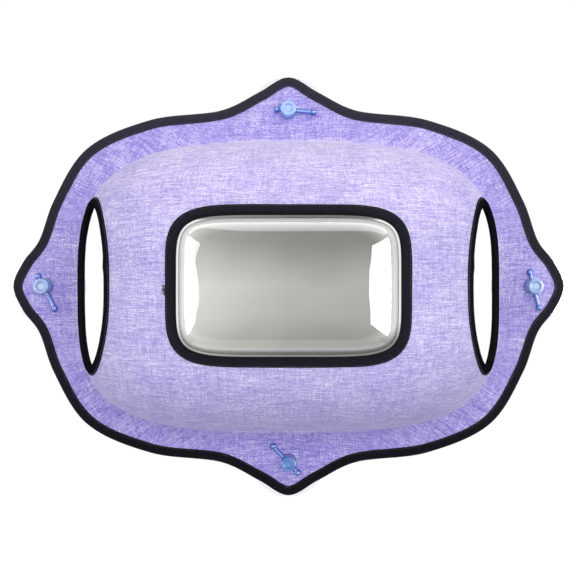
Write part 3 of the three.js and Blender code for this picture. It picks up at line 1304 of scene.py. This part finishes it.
        def row_of(j: int) -> tuple[int, float]:
            """The row and the depth of a place round the layer's section."""
            j %= 2 * count
            return (j, near) if j < count else (2 * count - 1 - j, far)

        def place(i: int, j: int) -> Vector:
            """The vertex at a column and a place round the section."""
            row, depth = row_of(j)
            return self.rows[row][i % n] - self.normals[row][i % n] * depth

        maps = {
            "cloth": lambda i, j: self.cloth_at(i, row_of(j)[0]),
            "slanted": lambda i, j: self.slanted_at(i, row_of(j)[0]),
            "mask": lambda i, j: self.mask_at(i, row_of(j)[0]),
        }
        return wrapped_grid(n, 2 * count, place, maps)

    def seats(self) -> tuple[BVHTree, BVHTree]:
        """The laminate's room side and glass side, for laying tape on.

        Returns:
            The two surfaces, in metres.
        """
        n = self.form.columns
        trees = []
        for depth in (0.0, self.form.laminate):
            bm = wrapped_grid(
                n, len(self.rows) - 1,
                lambda i, j: self.rows[j][i % n] - self.normals[j][i % n] * depth,
            )
            trees.append(BVHTree.FromBMesh(bm))
            bm.free()
        return trees[0], trees[1]

    def entry_plug(self, edge: list[tuple[Vector, Vector]], side: int) -> bmesh.types.BMesh:
        """A plug through the wall for the right (1) or the left (-1) entry.

        Args:
            edge: The right-hand entry's edge, with its outward directions.
            side: 1 or -1.

        Returns:
            The closed mesh, in metres.
        """
        reach = self.plug_length / 2

        def place(k: int, j: int) -> Vector:
            """The vertex at a step of the edge, on the plug's inner or outer end."""
            point, outward = edge[k % len(edge)]
            at = point + outward * (reach if j else -reach)
            return Vector((at.x * side, at.y, at.z))

        bm = wrapped_grid(len(edge), 1, place)
        bmesh.ops.holes_fill(bm, edges=bm.edges, sides=0)
        bmesh.ops.recalc_face_normals(bm, faces=bm.faces)
        return bm

    def cutters(self, cups: Sequence[Pair]) -> list[Object]:
        """Plugs for the two entries and the posts' holes.

        Args:
            cups: Where the posts come through.

        Returns:
            The plugs.
        """
        edge = self.entry.edge(self.form)
        plugs = [self.entry_plug(edge, side) for side in (1, -1)]
        for x, z in cups:
            middle = Vector((x, -self.form.flange_front, z))
            plugs.append(rod(self.post_hole, self.plug_length, 48, middle, about="X"))
        return [to_object(plug, "plug") for plug in plugs]

    def build(self, cups: Sequence[Pair]) -> dict[str, Object]:
        """Makes the three layers.

        Args:
            cups: Where the posts come through.

        Returns:
            The layers by the name of the node that each stands for.
        """
        plugs = self.cutters(cups)
        foam_near = self.cover + SEAM
        lining_near = foam_near + self.foam + SEAM
        spans = {
            "outer_cover": (0.0, self.cover),
            "foam_core": (foam_near, foam_near + self.foam),
            "inner_lining": (lining_near, lining_near + self.lining),
        }
        layers = {}
        for node, (near, far) in spans.items():
            piece = to_object(self.layer(near, far), node + "_formed")
            cut(piece, plugs)
            crisp(piece, degrees=50)
            layers[node] = piece
        discard(plugs)
        return layers


class Wrap(Enum):
    """Which way a binding folds: over an outer edge or into an opening."""

    OUTER = "outer"
    OPENING = "opening"


@dataclass
class TapeStep:
    """One place along a bound edge: the edge, the way back over the cloth, and up."""

    edge: Vector
    inward: Vector
    up: Vector


# The folded tape's section, as pairs of a distance in from the raw edge and a
# height over the cloth: on the room side from the sewn leg to the middle of the
# fold, and its inner face from the leg to the raw edge.
TAPE_FRONT: tuple[Pair, ...] = (
    (10.3, 0.12), (10.6, 0.5), (10.3, 0.95), (9.5, 1.1), (8.8, 0.72), (8.1, 1.1),
    (6.4, 1.7), (4.4, 1.95), (2.6, 1.75), (1.1, 1.15), (0.0, 0.3), (-0.85, -0.75), (-1.4, -1.8),
)
TAPE_FOLD = -1.6
TAPE_INSIDE: tuple[Pair, ...] = ((8.0, 0.1), (4.0, 0.1), (0.4, 0.1), (-0.25, 0.1))


@dataclass
class Binding:
    """Tape folded over an edge, sewn through, with its ends overlapped at a join."""

    name: str
    steps: list[TapeStep]
    laminate: float
    join: float
    seats: tuple[BVHTree, BVHTree] | None = None
    width: float = 1.0
    overlap: Pair = (5.0, 8.0)
    overlap_fullness: float = 0.75
    seated: Pair = (0.5, 4.0)
    sewn: Pair = (4.0, 9.0)
    bulge_lift: float = 0.3
    bulge_reach: float = -1.2
    wander: float = 0.35
    wander_size: float = 38.0
    puff: float = 0.12
    puff_size: float = 16.0
    stitch_in: float = 8.8
    stitch_lift: float = 0.78
    stitch_pitch: float = 3.6
    stitch_size: Spot = (2.7, 0.62, 0.55)
    loose: int = 0
    loose_radii: Pair = (0.75, 0.4)
    loose_reach: float = 2.8
    loose_spread: float = 3.0
    loose_gap: float = 4.0
    loose_lift: float = 0.7
    fray_seed: int = 12
    seed: float = 0.0

    def __post_init__(self) -> None:
        """Measures the bound edge."""
        self.arc = lengths([step.edge for step in self.steps])

    def on_cloth(self, step: TapeStep, inward: float, lift: float, back: bool) -> Vector:
        """A point over the cloth at a distance in from the edge.

        Args:
            step: The place along the edge.
            inward: Distance in from the raw edge.
            lift: Height over the cloth.
            back: Whether it lies on the glass side.

        Returns:
            The point, in millimetres.
        """
        side = -1 if back else 1
        base = step.edge + step.inward * inward - step.up * (self.laminate if back else 0)
        flat = base + step.up * lift * side
        if self.seats is None or inward < self.seated[0]:
            return flat
        spot, normal, _, _ = self.seats[1 if back else 0].find_nearest(base * MM)
        if normal.dot(step.up) < 0:
            normal.negate()
        on_seat = spot / MM + normal * lift * side
        return flat.lerp(on_seat, smooth(*self.seated, inward))

    def section(self) -> list[tuple[float, float, bool]]:
        """The closed section: distance in, height over the cloth, and which side.

        Returns:
            Its points, from the room side's leg round the fold and back inside.
        """
        legs = [(s * self.width if s > 0 else s, h) for s, h in TAPE_FRONT]
        return [
            *((s, h, False) for s, h in legs),
            (TAPE_FOLD, -self.laminate / 2, False),
            *((s, h, True) for s, h in reversed(legs)),
            *((s, h, True) for s, h in TAPE_INSIDE),
            *((s, h, False) for s, h in reversed(TAPE_INSIDE)),
        ]

    def fullness(self, along: float) -> float:
        """How thick the tape is, greater where its ends overlap.

        Args:
            along: Distance along the edge.

        Returns:
            A factor of the tape's height.
        """
        total = self.arc[-1]
        gap = abs((along / total - self.join + 0.5) % 1.0 - 0.5) * total
        return 1.0 + self.overlap_fullness * (1 - smooth(*self.overlap, gap))

    def build(self) -> Object:
        """Makes the tape.

        Returns:
            The tape as one closed piece.
        """
        section = self.section()
        count = len(self.steps)
        least = 0.01  # what the tape's map moves on where the section changes sides
        run = [0.0]
        ring = section + section[:1]
        for (s0, h0, _), (s1, h1, _) in zip(ring, ring[1:]):
            run.append(run[-1] + math.hypot(s1 - s0, h1 - h0) + least)

        def place(i: int, j: int) -> Vector:
            """The vertex at a step of the edge and a point of the section."""
            step = self.steps[i % count]
            inward, lift, back = section[j % len(section)]
            sewn = smooth(*self.sewn, inward)
            drift = self.wander * ripple(step.edge, self.wander_size, self.seed) * sewn
            puff = 1 + self.puff * ripple(step.edge, self.puff_size, self.seed + 9)
            if lift > self.bulge_lift and inward > self.bulge_reach:
                lift = lift * self.fullness(self.arc[i % count]) * puff
            return self.on_cloth(step, inward + drift, lift, back)

        maps = {"tape": lambda i, j: (self.arc[i], run[j])}
        return to_object(wrapped_grid(count, len(section), place, maps), self.name + "_tape")

    def stitches(self) -> Object:
        """Makes the rows of stitches, on the room side and the glass side.

        Returns:
            All stitches, and the loose ends at the join, as one piece.
        """
        seed = bmesh.new()
        bmesh.ops.create_uvsphere(seed, u_segments=6, v_segments=4, radius=0.5 * MM)
        stitch = bpy.data.meshes.new("stitch")
        seed.to_mesh(stitch)
        seed.free()
        size = Matrix.Diagonal((*self.stitch_size, 1.0))
        inward = self.stitch_in * self.width
        bm = bmesh.new()
        for along, k, share in evenly(self.arc, round(self.arc[-1] / self.stitch_pitch)):
            a, b = self.steps[k], self.steps[(k + 1) % len(self.steps)]
            lift = self.stitch_lift * self.fullness(along)
            for back in (False, True):
                here = self.on_cloth(a, inward, lift, back)
                there = self.on_cloth(b, inward, lift, back)
                lead = (there - here).normalized()
                across = (-a.up if back else a.up).cross(lead).normalized()
                turn = Matrix((lead, across, lead.cross(across))).transposed().to_4x4()
                before = len(bm.verts)
                bm.from_mesh(stitch)
                bm.verts.ensure_lookup_table()
                bmesh.ops.transform(
                    bm, verts=bm.verts[before:],
                    matrix=Matrix.Translation(here.lerp(there, share) * MM) @ turn @ size,
                )
        self.fray(bm)
        bpy.data.meshes.remove(stitch)
        return to_object(bm, self.name + "_stitches")

    def fray(self, bm: bmesh.types.BMesh) -> None:
        """Adds the loose yarn ends at the join, where the tape was cut.

        Args:
            bm: The mesh that gets them.
        """
        noise.seed_set(self.fray_seed)
        leg = max(s for s, _ in TAPE_FRONT) * self.width
        total = self.arc[-1]
        thick, thin = self.loose_radii
        for n in range(self.loose):
            spin = noise.random_vector()
            shift = self.loose_spread * spin.x + self.loose_gap * (n % 2)
            target = (self.join * total + shift) % total
            k = max(i for i, along in enumerate(self.arc[:-1]) if along <= target)
            step = self.steps[k]
            root = self.on_cloth(step, leg, self.loose_lift, False)
            reach = self.loose_reach + spin.z
            lead = step.inward + step.up * (0.4 + 0.4 * spin.y) + spin * 0.8
            tilt = Vector((0, 0, 1)).rotation_difference(lead).to_matrix().to_4x4()
            bmesh.ops.create_cone(
                bm, cap_ends=True, segments=6, radius1=thick * MM, radius2=thin * MM,
                depth=2 * reach * MM, matrix=Matrix.Translation(root * MM) @ tilt,
            )


def flat_steps(
    loop: Callable[[float], Vector], count: int, height: float, wrap: Wrap
) -> list[TapeStep]:
    """Steps along an edge that lies flat at one height.

    Args:
        loop: The edge by share of the way round.
        count: How many steps to take.
        height: Height of the cloth's room side.
        wrap: Which way the tape folds.

    Returns:
        The steps, evenly spaced along the edge.
    """
    fine = [loop(k / (4 * count)) for k in range(4 * count)]
    steps = []
    for _, k, share in evenly(lengths(fine), count):
        place = fine[k].lerp(fine[(k + 1) % len(fine)], share)
        along = (fine[(k + 2) % len(fine)] - fine[k - 1]).normalized()
        out = Vector((along.y, -along.x))
        inward = at_height(-out if wrap is Wrap.OUTER else out, 0)
        steps.append(TapeStep(at_height(place, height), inward, Vector((0, -1, 0))))
    return steps


def entry_steps(entry: EntryForm, form: PodForm, side: int) -> list[TapeStep]:
    """Steps along an entry's edge, on the right (1) or the left (-1).

    Args:
        entry: The entry.
        form: The pod that it is cut in.
        side: 1 or -1.

    Returns:
        A step for each point of the entry's edge.
    """
    edge = entry.edge(form)
    flip = Vector((side, 1, 1))
    steps = []
    for k, (point, outward) in enumerate(edge):
        along = (edge[(k + 1) % len(edge)][0] - edge[k - 1][0]).normalized()
        away = along.cross(outward).normalized()
        steps.append(TapeStep(point * flip, away * flip, outward * flip))
    return steps


@dataclass
class Bubble:
    """The clear dome, with a flange that lies behind the window's tape.

    Two shallow folds across its shoulders, left by the forming, and a slight
    waviness bend the reflections in it.
    """

    form: PodForm
    thickness: float = 1.5
    drawn: float = 0.7
    rise: float = 54.0
    exponent: float = 2.4
    clearance: float = 2.2
    tape: float = 1.0
    flange: float = 9.0
    fillet: float = 1.6
    fillet_rows: int = 5
    rings: int = 28
    waviness: float = 0.3
    wave_size: float = 34.0
    still: Pair = (4.0, 30.0)
    fold_left: Pair = (1.1, -6.0)
    fold_right: Pair = (0.45, 6.0)
    fold_pitch: float = 56.0
    shoulder: float = 100.0
    shoulder_width: float = 14.0

    def wall(self, past: float, low: float, radius: float) -> list[Spot]:
        """One face of the dome, from its top to its flange.

        Args:
            past: Distance of its foot outward from the window's edge.
            low: Height of the flange's face.
            radius: Radius of the fillet at its foot.

        Returns:
            Distance past the window's edge, share of the way out and height.
        """
        rows = []
        for k in range(self.rings + 1):
            angle = math.pi / 2 * (1 - k / self.rings)
            share = math.cos(angle) ** (2 / self.exponent) if k else 0.0
            rows.append((past, share, low + math.sin(angle) ** (2 / self.exponent) * self.rise))
        kept = [row for row in rows if row[2] > low + radius]
        for k in range(self.fillet_rows + 1):
            angle = math.pi / 2 * k / self.fillet_rows
            out = past + radius * (1 - math.cos(angle))
            kept.append((out, 1.0, low + radius * (1 - math.sin(angle))))
        return kept

    def build(self) -> Object:
        """Makes the dome.

        Returns:
            The dome as one closed piece.
        """
        front = self.form.land_front - self.form.laminate - self.tape - 2 * SEAM
        base = -(SEAM + self.tape + self.clearance)
        outer = self.wall(base, front, self.fillet)
        inner = self.wall(base - self.drawn, front - self.drawn, self.fillet + self.drawn)
        edge = [(self.flange, 1.0, front), (self.flange, 1.0, front - self.thickness)]
        rows = outer + edge + inner[::-1]
        n = self.form.columns
        low, high = self.still

        def place(i: int, j: int) -> Vector:
            """The vertex at a column and a row."""
            past, share, height = rows[j]
            flat = self.form.window(i / n, past) * share
            point = at_height(flat, height)
            lift = smooth(front + low, front + high, height)
            wave = ripple(Vector((flat.x, 0, flat.y)), self.wave_size, 2.0)
            point.y -= self.waviness * lift * wave
            depth, start = self.fold_left if flat.x < 0 else self.fold_right
            fold = 1 - math.cos(TURN * (flat.y - start) / self.fold_pitch)
            near = math.exp(-(((abs(flat.x) - self.shoulder) / self.shoulder_width) ** 2))
            point.y -= depth * fold * near * lift
            return point

        return to_object(wrapped_grid(n, len(rows) - 1, place), "window_bubble_formed")


@dataclass(frozen=True)
class Tab:
    """A tab of the flange: its cup's centre, and its pin's turn and push.

    The turn is in degrees, and the push is a share of the pin's travel.
    """

    word: str
    centre: Pair
    turn: float
    push: float


class Where(Enum):
    """The four tabs."""

    TOP = Tab("top", (0.0, 218.0), -4.6, 0.965)
    RIGHT = Tab("right", (303.0, 0.0), -75.4, 0.53)
    BOTTOM = Tab("bottom", (0.0, -218.0), 133.2, 0.647)
    LEFT = Tab("left", (-303.0, 0.0), -62.7, 0.965)


@dataclass
class Hanger:
    """A suction cup whose post comes through a tab, and the pin that locks it."""

    tab: Tab
    flange_front: float = 19.2
    radius: float = 47.5
    lip: float = 5.0
    lip_thickness: float = 1.4
    hollow: float = 5.0
    stand_off: float = 13.7
    neck_drop: float = 4.2
    shoulder: float = 14.0
    post: float = 10.0
    post_top: float = 9.3
    reach: float = 20.0
    recess: float = 5.0
    recess_depth: float = 1.6
    pin: float = 2.5
    ball: float = 4.0
    ball_spacing: float = 45.0
    ball_rows: int = 14
    pin_rise: float = 6.5
    pin_gap: float = 0.4

    def placed(self, bm: bmesh.types.BMesh) -> bmesh.types.BMesh:
        """Turns a mesh about the post and moves it to its tab.

        Args:
            bm: The mesh, made about the origin.

        Returns:
            The same mesh, moved.
        """
        x, z = self.tab.centre
        turn = Matrix.Rotation(-math.radians(self.tab.turn), 4, "Y")
        shift = Matrix.Translation(Vector((x, 0, z)) * MM)
        bmesh.ops.transform(bm, matrix=shift @ turn, verts=bm.verts)
        return bm

    @property
    def pin_middle(self) -> Vector:
        """Where the pin's bore crosses the post's axis."""
        return Vector((0, -(self.flange_front + self.pin_rise), 0))

    def cup_profile(self) -> list[Pair]:
        """Radius and height of the cup's section, each corner eased by two points.

        Returns:
            The points, from the axis under the cup to the axis on the post.
        """
        top = self.flange_front + self.reach
        foot, head = self.stand_off + 0.5, top - 1.2
        neck = self.stand_off - self.neck_drop
        seal = self.radius - self.lip
        floor = top - self.recess_depth
        return [
            # under the cup, from the middle to the lip
            (0, self.hollow), (10, 4.9), (20, 4.35), (30, 3.0), (37, 1.5),
            (seal, 0.05), (seal + 0.6, 0), (self.radius - 0.5, 0),
            # the lip, and back over the cup to its shoulder
            (self.radius, 0.35), (self.radius, self.lip_thickness - 0.35),
            (self.radius - 0.4, self.lip_thickness),
            (44.5, 2.3), (40.4, 3.8), (33, 5.8), (26, 7.3), (19, 8.6),
            (self.shoulder + 0.6, neck), (self.shoulder, neck + 0.5),
            (self.shoulder, self.stand_off - 0.4), (self.shoulder - 0.4, self.stand_off),
            # the post, which tapers, and the recess in its end
            (self.post + 0.6, self.stand_off), (self.post, foot),
            *(
                (lerp(self.post, self.post_top, k / 5), lerp(foot, head, k / 5))
                for k in range(1, 6)
            ),
            (self.post_top - 0.3, top - 0.5), (self.post_top - 1.1, top),
            (self.recess + 0.7, top), (self.recess + 0.2, top - 0.3),
            (self.recess - 0.2, floor), (0, floor),
        ]

    def cup(self) -> Object:
        """Makes the cup with its post.

        Returns:
            The cup, bored for the pin.
        """
        bm = revolve([(r, -h) for r, h in self.cup_profile()], steps=72)
        layer = bm.loops.layers.uv.new("moulding")
        for face in bm.faces:
            for loop in face.loops:
                at = loop.vert.co / MM
                loop[layer].uv = (math.hypot(at.x, at.z), -at.y)
        piece = to_object(self.placed(bm), f"suction_cup_{self.tab.word}_moulded")
        bore = rod(
            self.pin + self.pin_gap, 2 * self.post + 4, 32, self.pin_middle, about="Y"
        )
        drill = to_object(self.placed(bore), "pin_bore")
        cut(piece, [drill])
        discard([drill])
        crisp(piece, degrees=42)
        return piece

    def lock_pin(self) -> Object:
        """Makes the pin where it was left.

        Returns:
            The pin.
        """
        neck = math.asin((self.pin + 0.25) / self.ball)
        centre = self.ball_spacing / 2
        half = []
        for k in range(self.ball_rows + 1):
            angle = (math.pi - neck) * k / self.ball_rows
            half.append((math.sin(angle) * self.ball, centre + math.cos(angle) * self.ball))
        half[0] = (0.0, half[0][1])
        foot = half[-1][1]
        half += [(self.pin + 0.05, foot - 0.5), (self.pin, foot - 1.0), (self.pin, foot / 2)]
        bm = revolve(half + [(r, -along) for r, along in reversed(half)], steps=32)
        push = (centre - self.ball - self.post) * self.tab.push
        move = Matrix.Translation((Vector((push, 0, 0)) + self.pin_middle) * MM)
        lay = Matrix.Rotation(-math.pi / 2, 4, "Z")
        bmesh.ops.transform(bm, matrix=move @ lay, verts=bm.verts)
        return to_object(self.placed(bm), f"lock_pin_{self.tab.word}_moulded")


# ------------------------------------------------------------------ the studio


@dataclass(frozen=True)
class Lamp:
    """A soft box aimed at the window, which lights the matte pieces.

    Its place and size are in metres, its power is in watts.
    """

    name: str
    place: Spot
    size: Pair
    power: float
    colour: str = "#FFFFFF"
    aim: Spot = (0, -0.15, 0)

    def hang(self) -> None:
        """Puts the lamp in its place."""
        data = bpy.data.lights.new(self.name, "AREA")
        data.shape = "RECTANGLE"
        data.size, data.size_y = self.size
        data.energy = self.power
        data.color = linear(self.colour)[:3]
        lamp = bpy.data.objects.new(self.name, data)
        lamp.location = self.place
        way = Vector(self.aim) - Vector(self.place)
        lamp.rotation_euler = way.to_track_quat("-Z", "Y").to_euler()
        lamp.visible_glossy = False
        lamp.visible_transmission = False
        bpy.context.scene.collection.objects.link(lamp)


@dataclass(frozen=True)
class Card:
    """A white card that shows only in glossy reflections, with its corners in metres."""

    name: str
    glow: float
    outline: tuple[Spot, ...]

    def hang(self) -> None:
        """Puts the card in its place."""
        bm = bmesh.new()
        bm.faces.new([bm.verts.new(corner) for corner in self.outline])
        card = to_object(bm, self.name)
        material, tree, shader = fresh(self.name + "_glow")
        tree.nodes.remove(shader)
        shine = add(tree, "Emission", {"Strength": self.glow})
        feed(tree, tree.nodes["Material Output"].inputs["Surface"], shine)
        card.data.materials.append(material)
        card.visible_camera = False
        card.visible_diffuse = False
        card.visible_transmission = False
        card.visible_shadow = False


LAMPS: tuple[Lamp, ...] = (
    Lamp("top_lamp", (0.3, -0.8, 1.2), (1.6, 0.9), 5.4, "#FFF6E6"),
    Lamp("right_lamp", (1.3, -0.9, 0.4), (0.8, 0.9), 0.3),
    Lamp("left_lamp", (-1.2, -0.35, -0.7), (0.8, 0.5), 1.2),
    Lamp("front_lamp", (0.1, -2.3, 0.3), (1.6, 0.8), 24.0),
)
CARDS: tuple[Card, ...] = (
    Card("left_card", 12.0, (
        (-1.1, 0.05, 0.6), (-1.1, -0.88, 0.6), (-1.1, -0.88, -0.3),
        (-1.1, -0.3, -0.6), (-1.1, 0.05, -0.6),
    )),
    Card("right_card", 24.0, (
        (1.1, -0.11, 0.6), (1.1, -1.2, 0.6), (1.1, -1.2, -0.46),
        (1.1, -0.6, -0.62), (1.1, -0.11, -0.62),
    )),
    Card("top_card", 6.0, (
        (-1.6, 0.25, 1.0), (-1.6, -0.02, 1.0), (-0.5, -0.16, 1.0), (-0.12, -0.4, 1.0),
        (0.6, -0.42, 1.0), (1.3, -0.36, 1.0), (1.3, 0.25, 1.0),
    )),
    Card("low_card", 2.4, (
        (-0.9, -0.45, -1.0), (-0.9, 0.7, -1.0), (0.9, 0.7, -1.0), (0.9, -0.45, -1.0),
    )),
)


@dataclass(frozen=True)
class Studio:
    """Camera, plain soft lamps, white surround and a pale floor far below, in metres."""

    distance: float = 1.22
    lens: float = 61.34
    sensor: float = 36.0
    flange_front: float = 0.0192
    centre: Pair = (-0.0006, -0.0021)
    fill: float = 0.68
    fill_colour: str = "#FFFFF8"
    floor_z: float = -1.05
    floor_reach: float = 6.0
    floor_colour: str = "#A3A3B8"
    floor_glow: float = 1.08
    floor_seen: float = 0.92

    def camera(self) -> None:
        """Places the camera as the photograph was taken."""
        data = bpy.data.cameras.new("camera")
        data.lens = self.lens
        data.sensor_width = self.sensor
        camera = bpy.data.objects.new("camera", data)
        camera.location = (self.centre[0], -self.flange_front - self.distance, self.centre[1])
        camera.rotation_euler = (math.pi / 2, 0, 0)
        bpy.context.scene.collection.objects.link(camera)
        bpy.context.scene.camera = camera

    @staticmethod
    def seen(tree: NodeTree) -> Node:
        """1 for what the eye sees directly, in gloss or through glass.

        Args:
            tree: The tree that gets the nodes.

        Returns:
            The node that gives it.
        """
        path = add(tree, "LightPath").outputs
        kinds = ("Camera", "Glossy", "Transmission")
        direct, gloss, through = (path[f"Is {kind} Ray"] for kind in kinds)
        either = add(tree, "Math", [direct, gloss], operation="MAXIMUM")
        return add(tree, "Math", [either, through], operation="MAXIMUM")

    def surround(self) -> None:
        """Makes the world white to the eye, and a plain fill to matte surfaces."""
        world = bpy.data.worlds.new("surround")
        world.use_nodes = True
        bpy.context.scene.world = world
        tree = world.node_tree
        tree.nodes.clear()
        plain = add(tree, "Background", [linear(self.fill_colour), self.fill])
        white = add(tree, "Background", [(1, 1, 1, 1), 1.0])
        add(tree, "OutputWorld", [add(tree, "MixShader", [self.seen(tree), plain, white])])

    def floor(self) -> None:
        """Lays the pale floor, far below the window."""
        bm = bmesh.new()
        bmesh.ops.create_grid(bm, x_segments=1, y_segments=1, size=self.floor_reach)
        bmesh.ops.translate(bm, verts=bm.verts, vec=(0, 0, self.floor_z))
        floor = to_object(bm, "floor")
        material, tree, shader = fresh("pale_floor")
        feed(tree, shader.inputs["Base Color"], linear(self.floor_colour))
        feed(tree, shader.inputs["Roughness"], 0.8)
        glow = add(tree, "Emission", {"Strength": self.floor_glow})
        share = add(tree, "Math", [self.seen(tree), self.floor_seen], operation="MULTIPLY")
        mixed = add(tree, "MixShader", [share, shader, glow])
        feed(tree, tree.nodes["Material Output"].inputs["Surface"], mixed)
        floor.data.materials.append(material)

    def build(self) -> None:
        """Sets up the whole studio."""
        bpy.context.scene.view_settings.view_transform = "Standard"
        self.camera()
        self.surround()
        self.floor()
        for light in (*LAMPS, *CARDS):
            light.hang()


# ------------------------------------------------------------------- assembly


@dataclass
class Perch:
    """The whole product, put together on the frame's bodies."""

    form: PodForm
    entry: EntryForm
    rim_steps: int = 560
    window_steps: int = 300
    rim_join: float = 0.84
    window_join: float = 0.505
    entry_join: float = 0.25

    def finish(self, piece: Object, node: str, body: str, material: Material) -> None:
        """Dresses a piece and makes it stand for its node.

        Args:
            piece: The finished mesh.
            node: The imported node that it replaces, or "" for none.
            body: The body that carries it.
            material: Its finish.
        """
        piece.data.materials.clear()
        piece.data.materials.append(material)
        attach(piece, body)
        if node:
            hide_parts(node)
        LOG.info("%s: %d faces on %s", piece.name, len(piece.data.polygons), body)

    def tapes(self) -> tuple[Material, Material, Material]:
        """The tape of the rim, of the window and of the entries.

        The rim's has painted light along its top and painted shade along its bottom, and the
        entries' is a darker copy without sheen, as painted shade.

        Returns:
            The three materials, in that order.
        """
        # Painted light (pale) and painted shade (dark, and deep for the entries) in copies of one
        # tape.
        pale = ((0.2, "#23242C"), (0.55, "#32333D"), (0.85, "#43444F"))
        dark = ((0.2, "#0E0F14"), (0.55, "#18191E"), (0.85, "#25262C"))
        deep = ((0.2, "#0C0D12"), (0.55, "#15161B"), (0.85, "#212229"))
        plain = BindingTapeCloth()
        rim = BindingTapeCloth(plain.name + "_painted_light_and_shade", low=dark, high=pale)
        # The entries' tape: a darker copy without sheen, as painted shade.
        entry = BindingTapeCloth(plain.name + "_deep", low=deep, high=deep, sheen=0.0)
        return rim.make(), plain.make(), entry.make()

    def bindings(self, seats: tuple[BVHTree, BVHTree]) -> list[tuple[Binding, Material]]:
        """The four bindings with their tapes.

        Args:
            seats: What the tape of an entry lies on.

        Returns:
            Each binding and its tape, from the rim to the entries.
        """
        form = self.form
        thick = form.laminate
        rim = flat_steps(form.flange, self.rim_steps, form.flange_front, Wrap.OUTER)
        window = flat_steps(form.window, self.window_steps, form.land_front, Wrap.OPENING)
        rim_tape, window_tape, entry_tape = self.tapes()
        result = [
            (Binding("rim_binding", rim, thick, self.rim_join, seed=1.0), rim_tape),
            (Binding(
                "window_binding", window, thick, self.window_join, width=0.9, loose=12, seed=2.0
            ), window_tape),
        ]
        for word, side, seed in (("right", 1, 3.0), ("left", -1, 4.0)):
            steps = entry_steps(self.entry, form, side)
            name = word + "_entry_binding"
            binding = Binding(name, steps, thick, self.entry_join, seats, seed=seed)
            result.append((binding, entry_tape))
        return result

    def build_pod(self) -> None:
        """Makes the laminate, its bindings and the bubble."""
        laminate = Laminate(self.form, self.entry)
        layers = laminate.build([where.value.centre for where in Where])
        cloths = (
            ("outer_cover", HeatheredLinen(), "cover_fabric"),
            ("foam_core", FoamSheet(), "eva_foam"),
            ("inner_lining", KnitLining(), "lining_fabric"),
        )
        for node, cloth, slot in cloths:
            self.finish(layers[node], node, "pod", cloth.make())
        thread = SewingThread().make()
        for binding, tape in self.bindings(laminate.seats()):
            self.finish(binding.build(), binding.name, "pod", tape)
            self.finish(binding.stitches(), "", "pod", thread)
        bubble = Bubble(self.form).build()
        self.finish(bubble, "window_bubble", "pod", ClearSheet().make())

    def vinyls(self) -> dict[Where, Material]:
        """The four cups' finish, with painted light and shade: the posts at the top
        and the bottom are copies of one vinyl in a deeper blue.

        Returns:
            A material for each tab.
        """
        milky = SoftVinyl()
        # Painted light and shade: the top post's copy is bluer, the bottom post's darker.
        sky = SoftVinyl(milky.name + "_sky", side="#86B0F2", end=(
            (0.1, "#C6DCFA"), (0.36, "#B0CFF9"), (0.5, "#96BBF5"), (0.66, "#A4C8FA"),
            (0.95, "#92B8F4"),
        ))
        deep = SoftVinyl(milky.name + "_deep", side="#557CBA", end=(
            (0.1, "#84ADEA"), (0.36, "#719CDB"), (0.5, "#5880C8"), (0.66, "#648ED0"),
            (0.95, "#527AC0"),
        ))
        sides = milky.make()
        return {
            Where.TOP: sky.make(),
            Where.BOTTOM: deep.make(),
            Where.LEFT: sides,
            Where.RIGHT: sides,
        }

    def build_hangers(self) -> None:
        """Makes the four cups and their pins."""
        vinyls = self.vinyls()
        blue = BluePlastic().make()
        for where in Where:
            hanger = Hanger(where.value)
            word = where.value.word
            cup, vinyl = f"suction_cup_{word}", vinyls[where]
            self.finish(hanger.cup(), cup, f"cup_{word}", vinyl)
            self.finish(hanger.lock_pin(), f"lock_pin_{word}", f"pin_{word}", blue)


def main() -> None:
    """Loads the frame and builds the perch on it."""
    logging.basicConfig(level=logging.INFO, format="%(name)s: %(message)s")
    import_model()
    Studio().build()
    perch = Perch(PodForm(), EntryForm())
    perch.build_pod()
    perch.build_hangers()


if __name__ == "__main__":
    main()
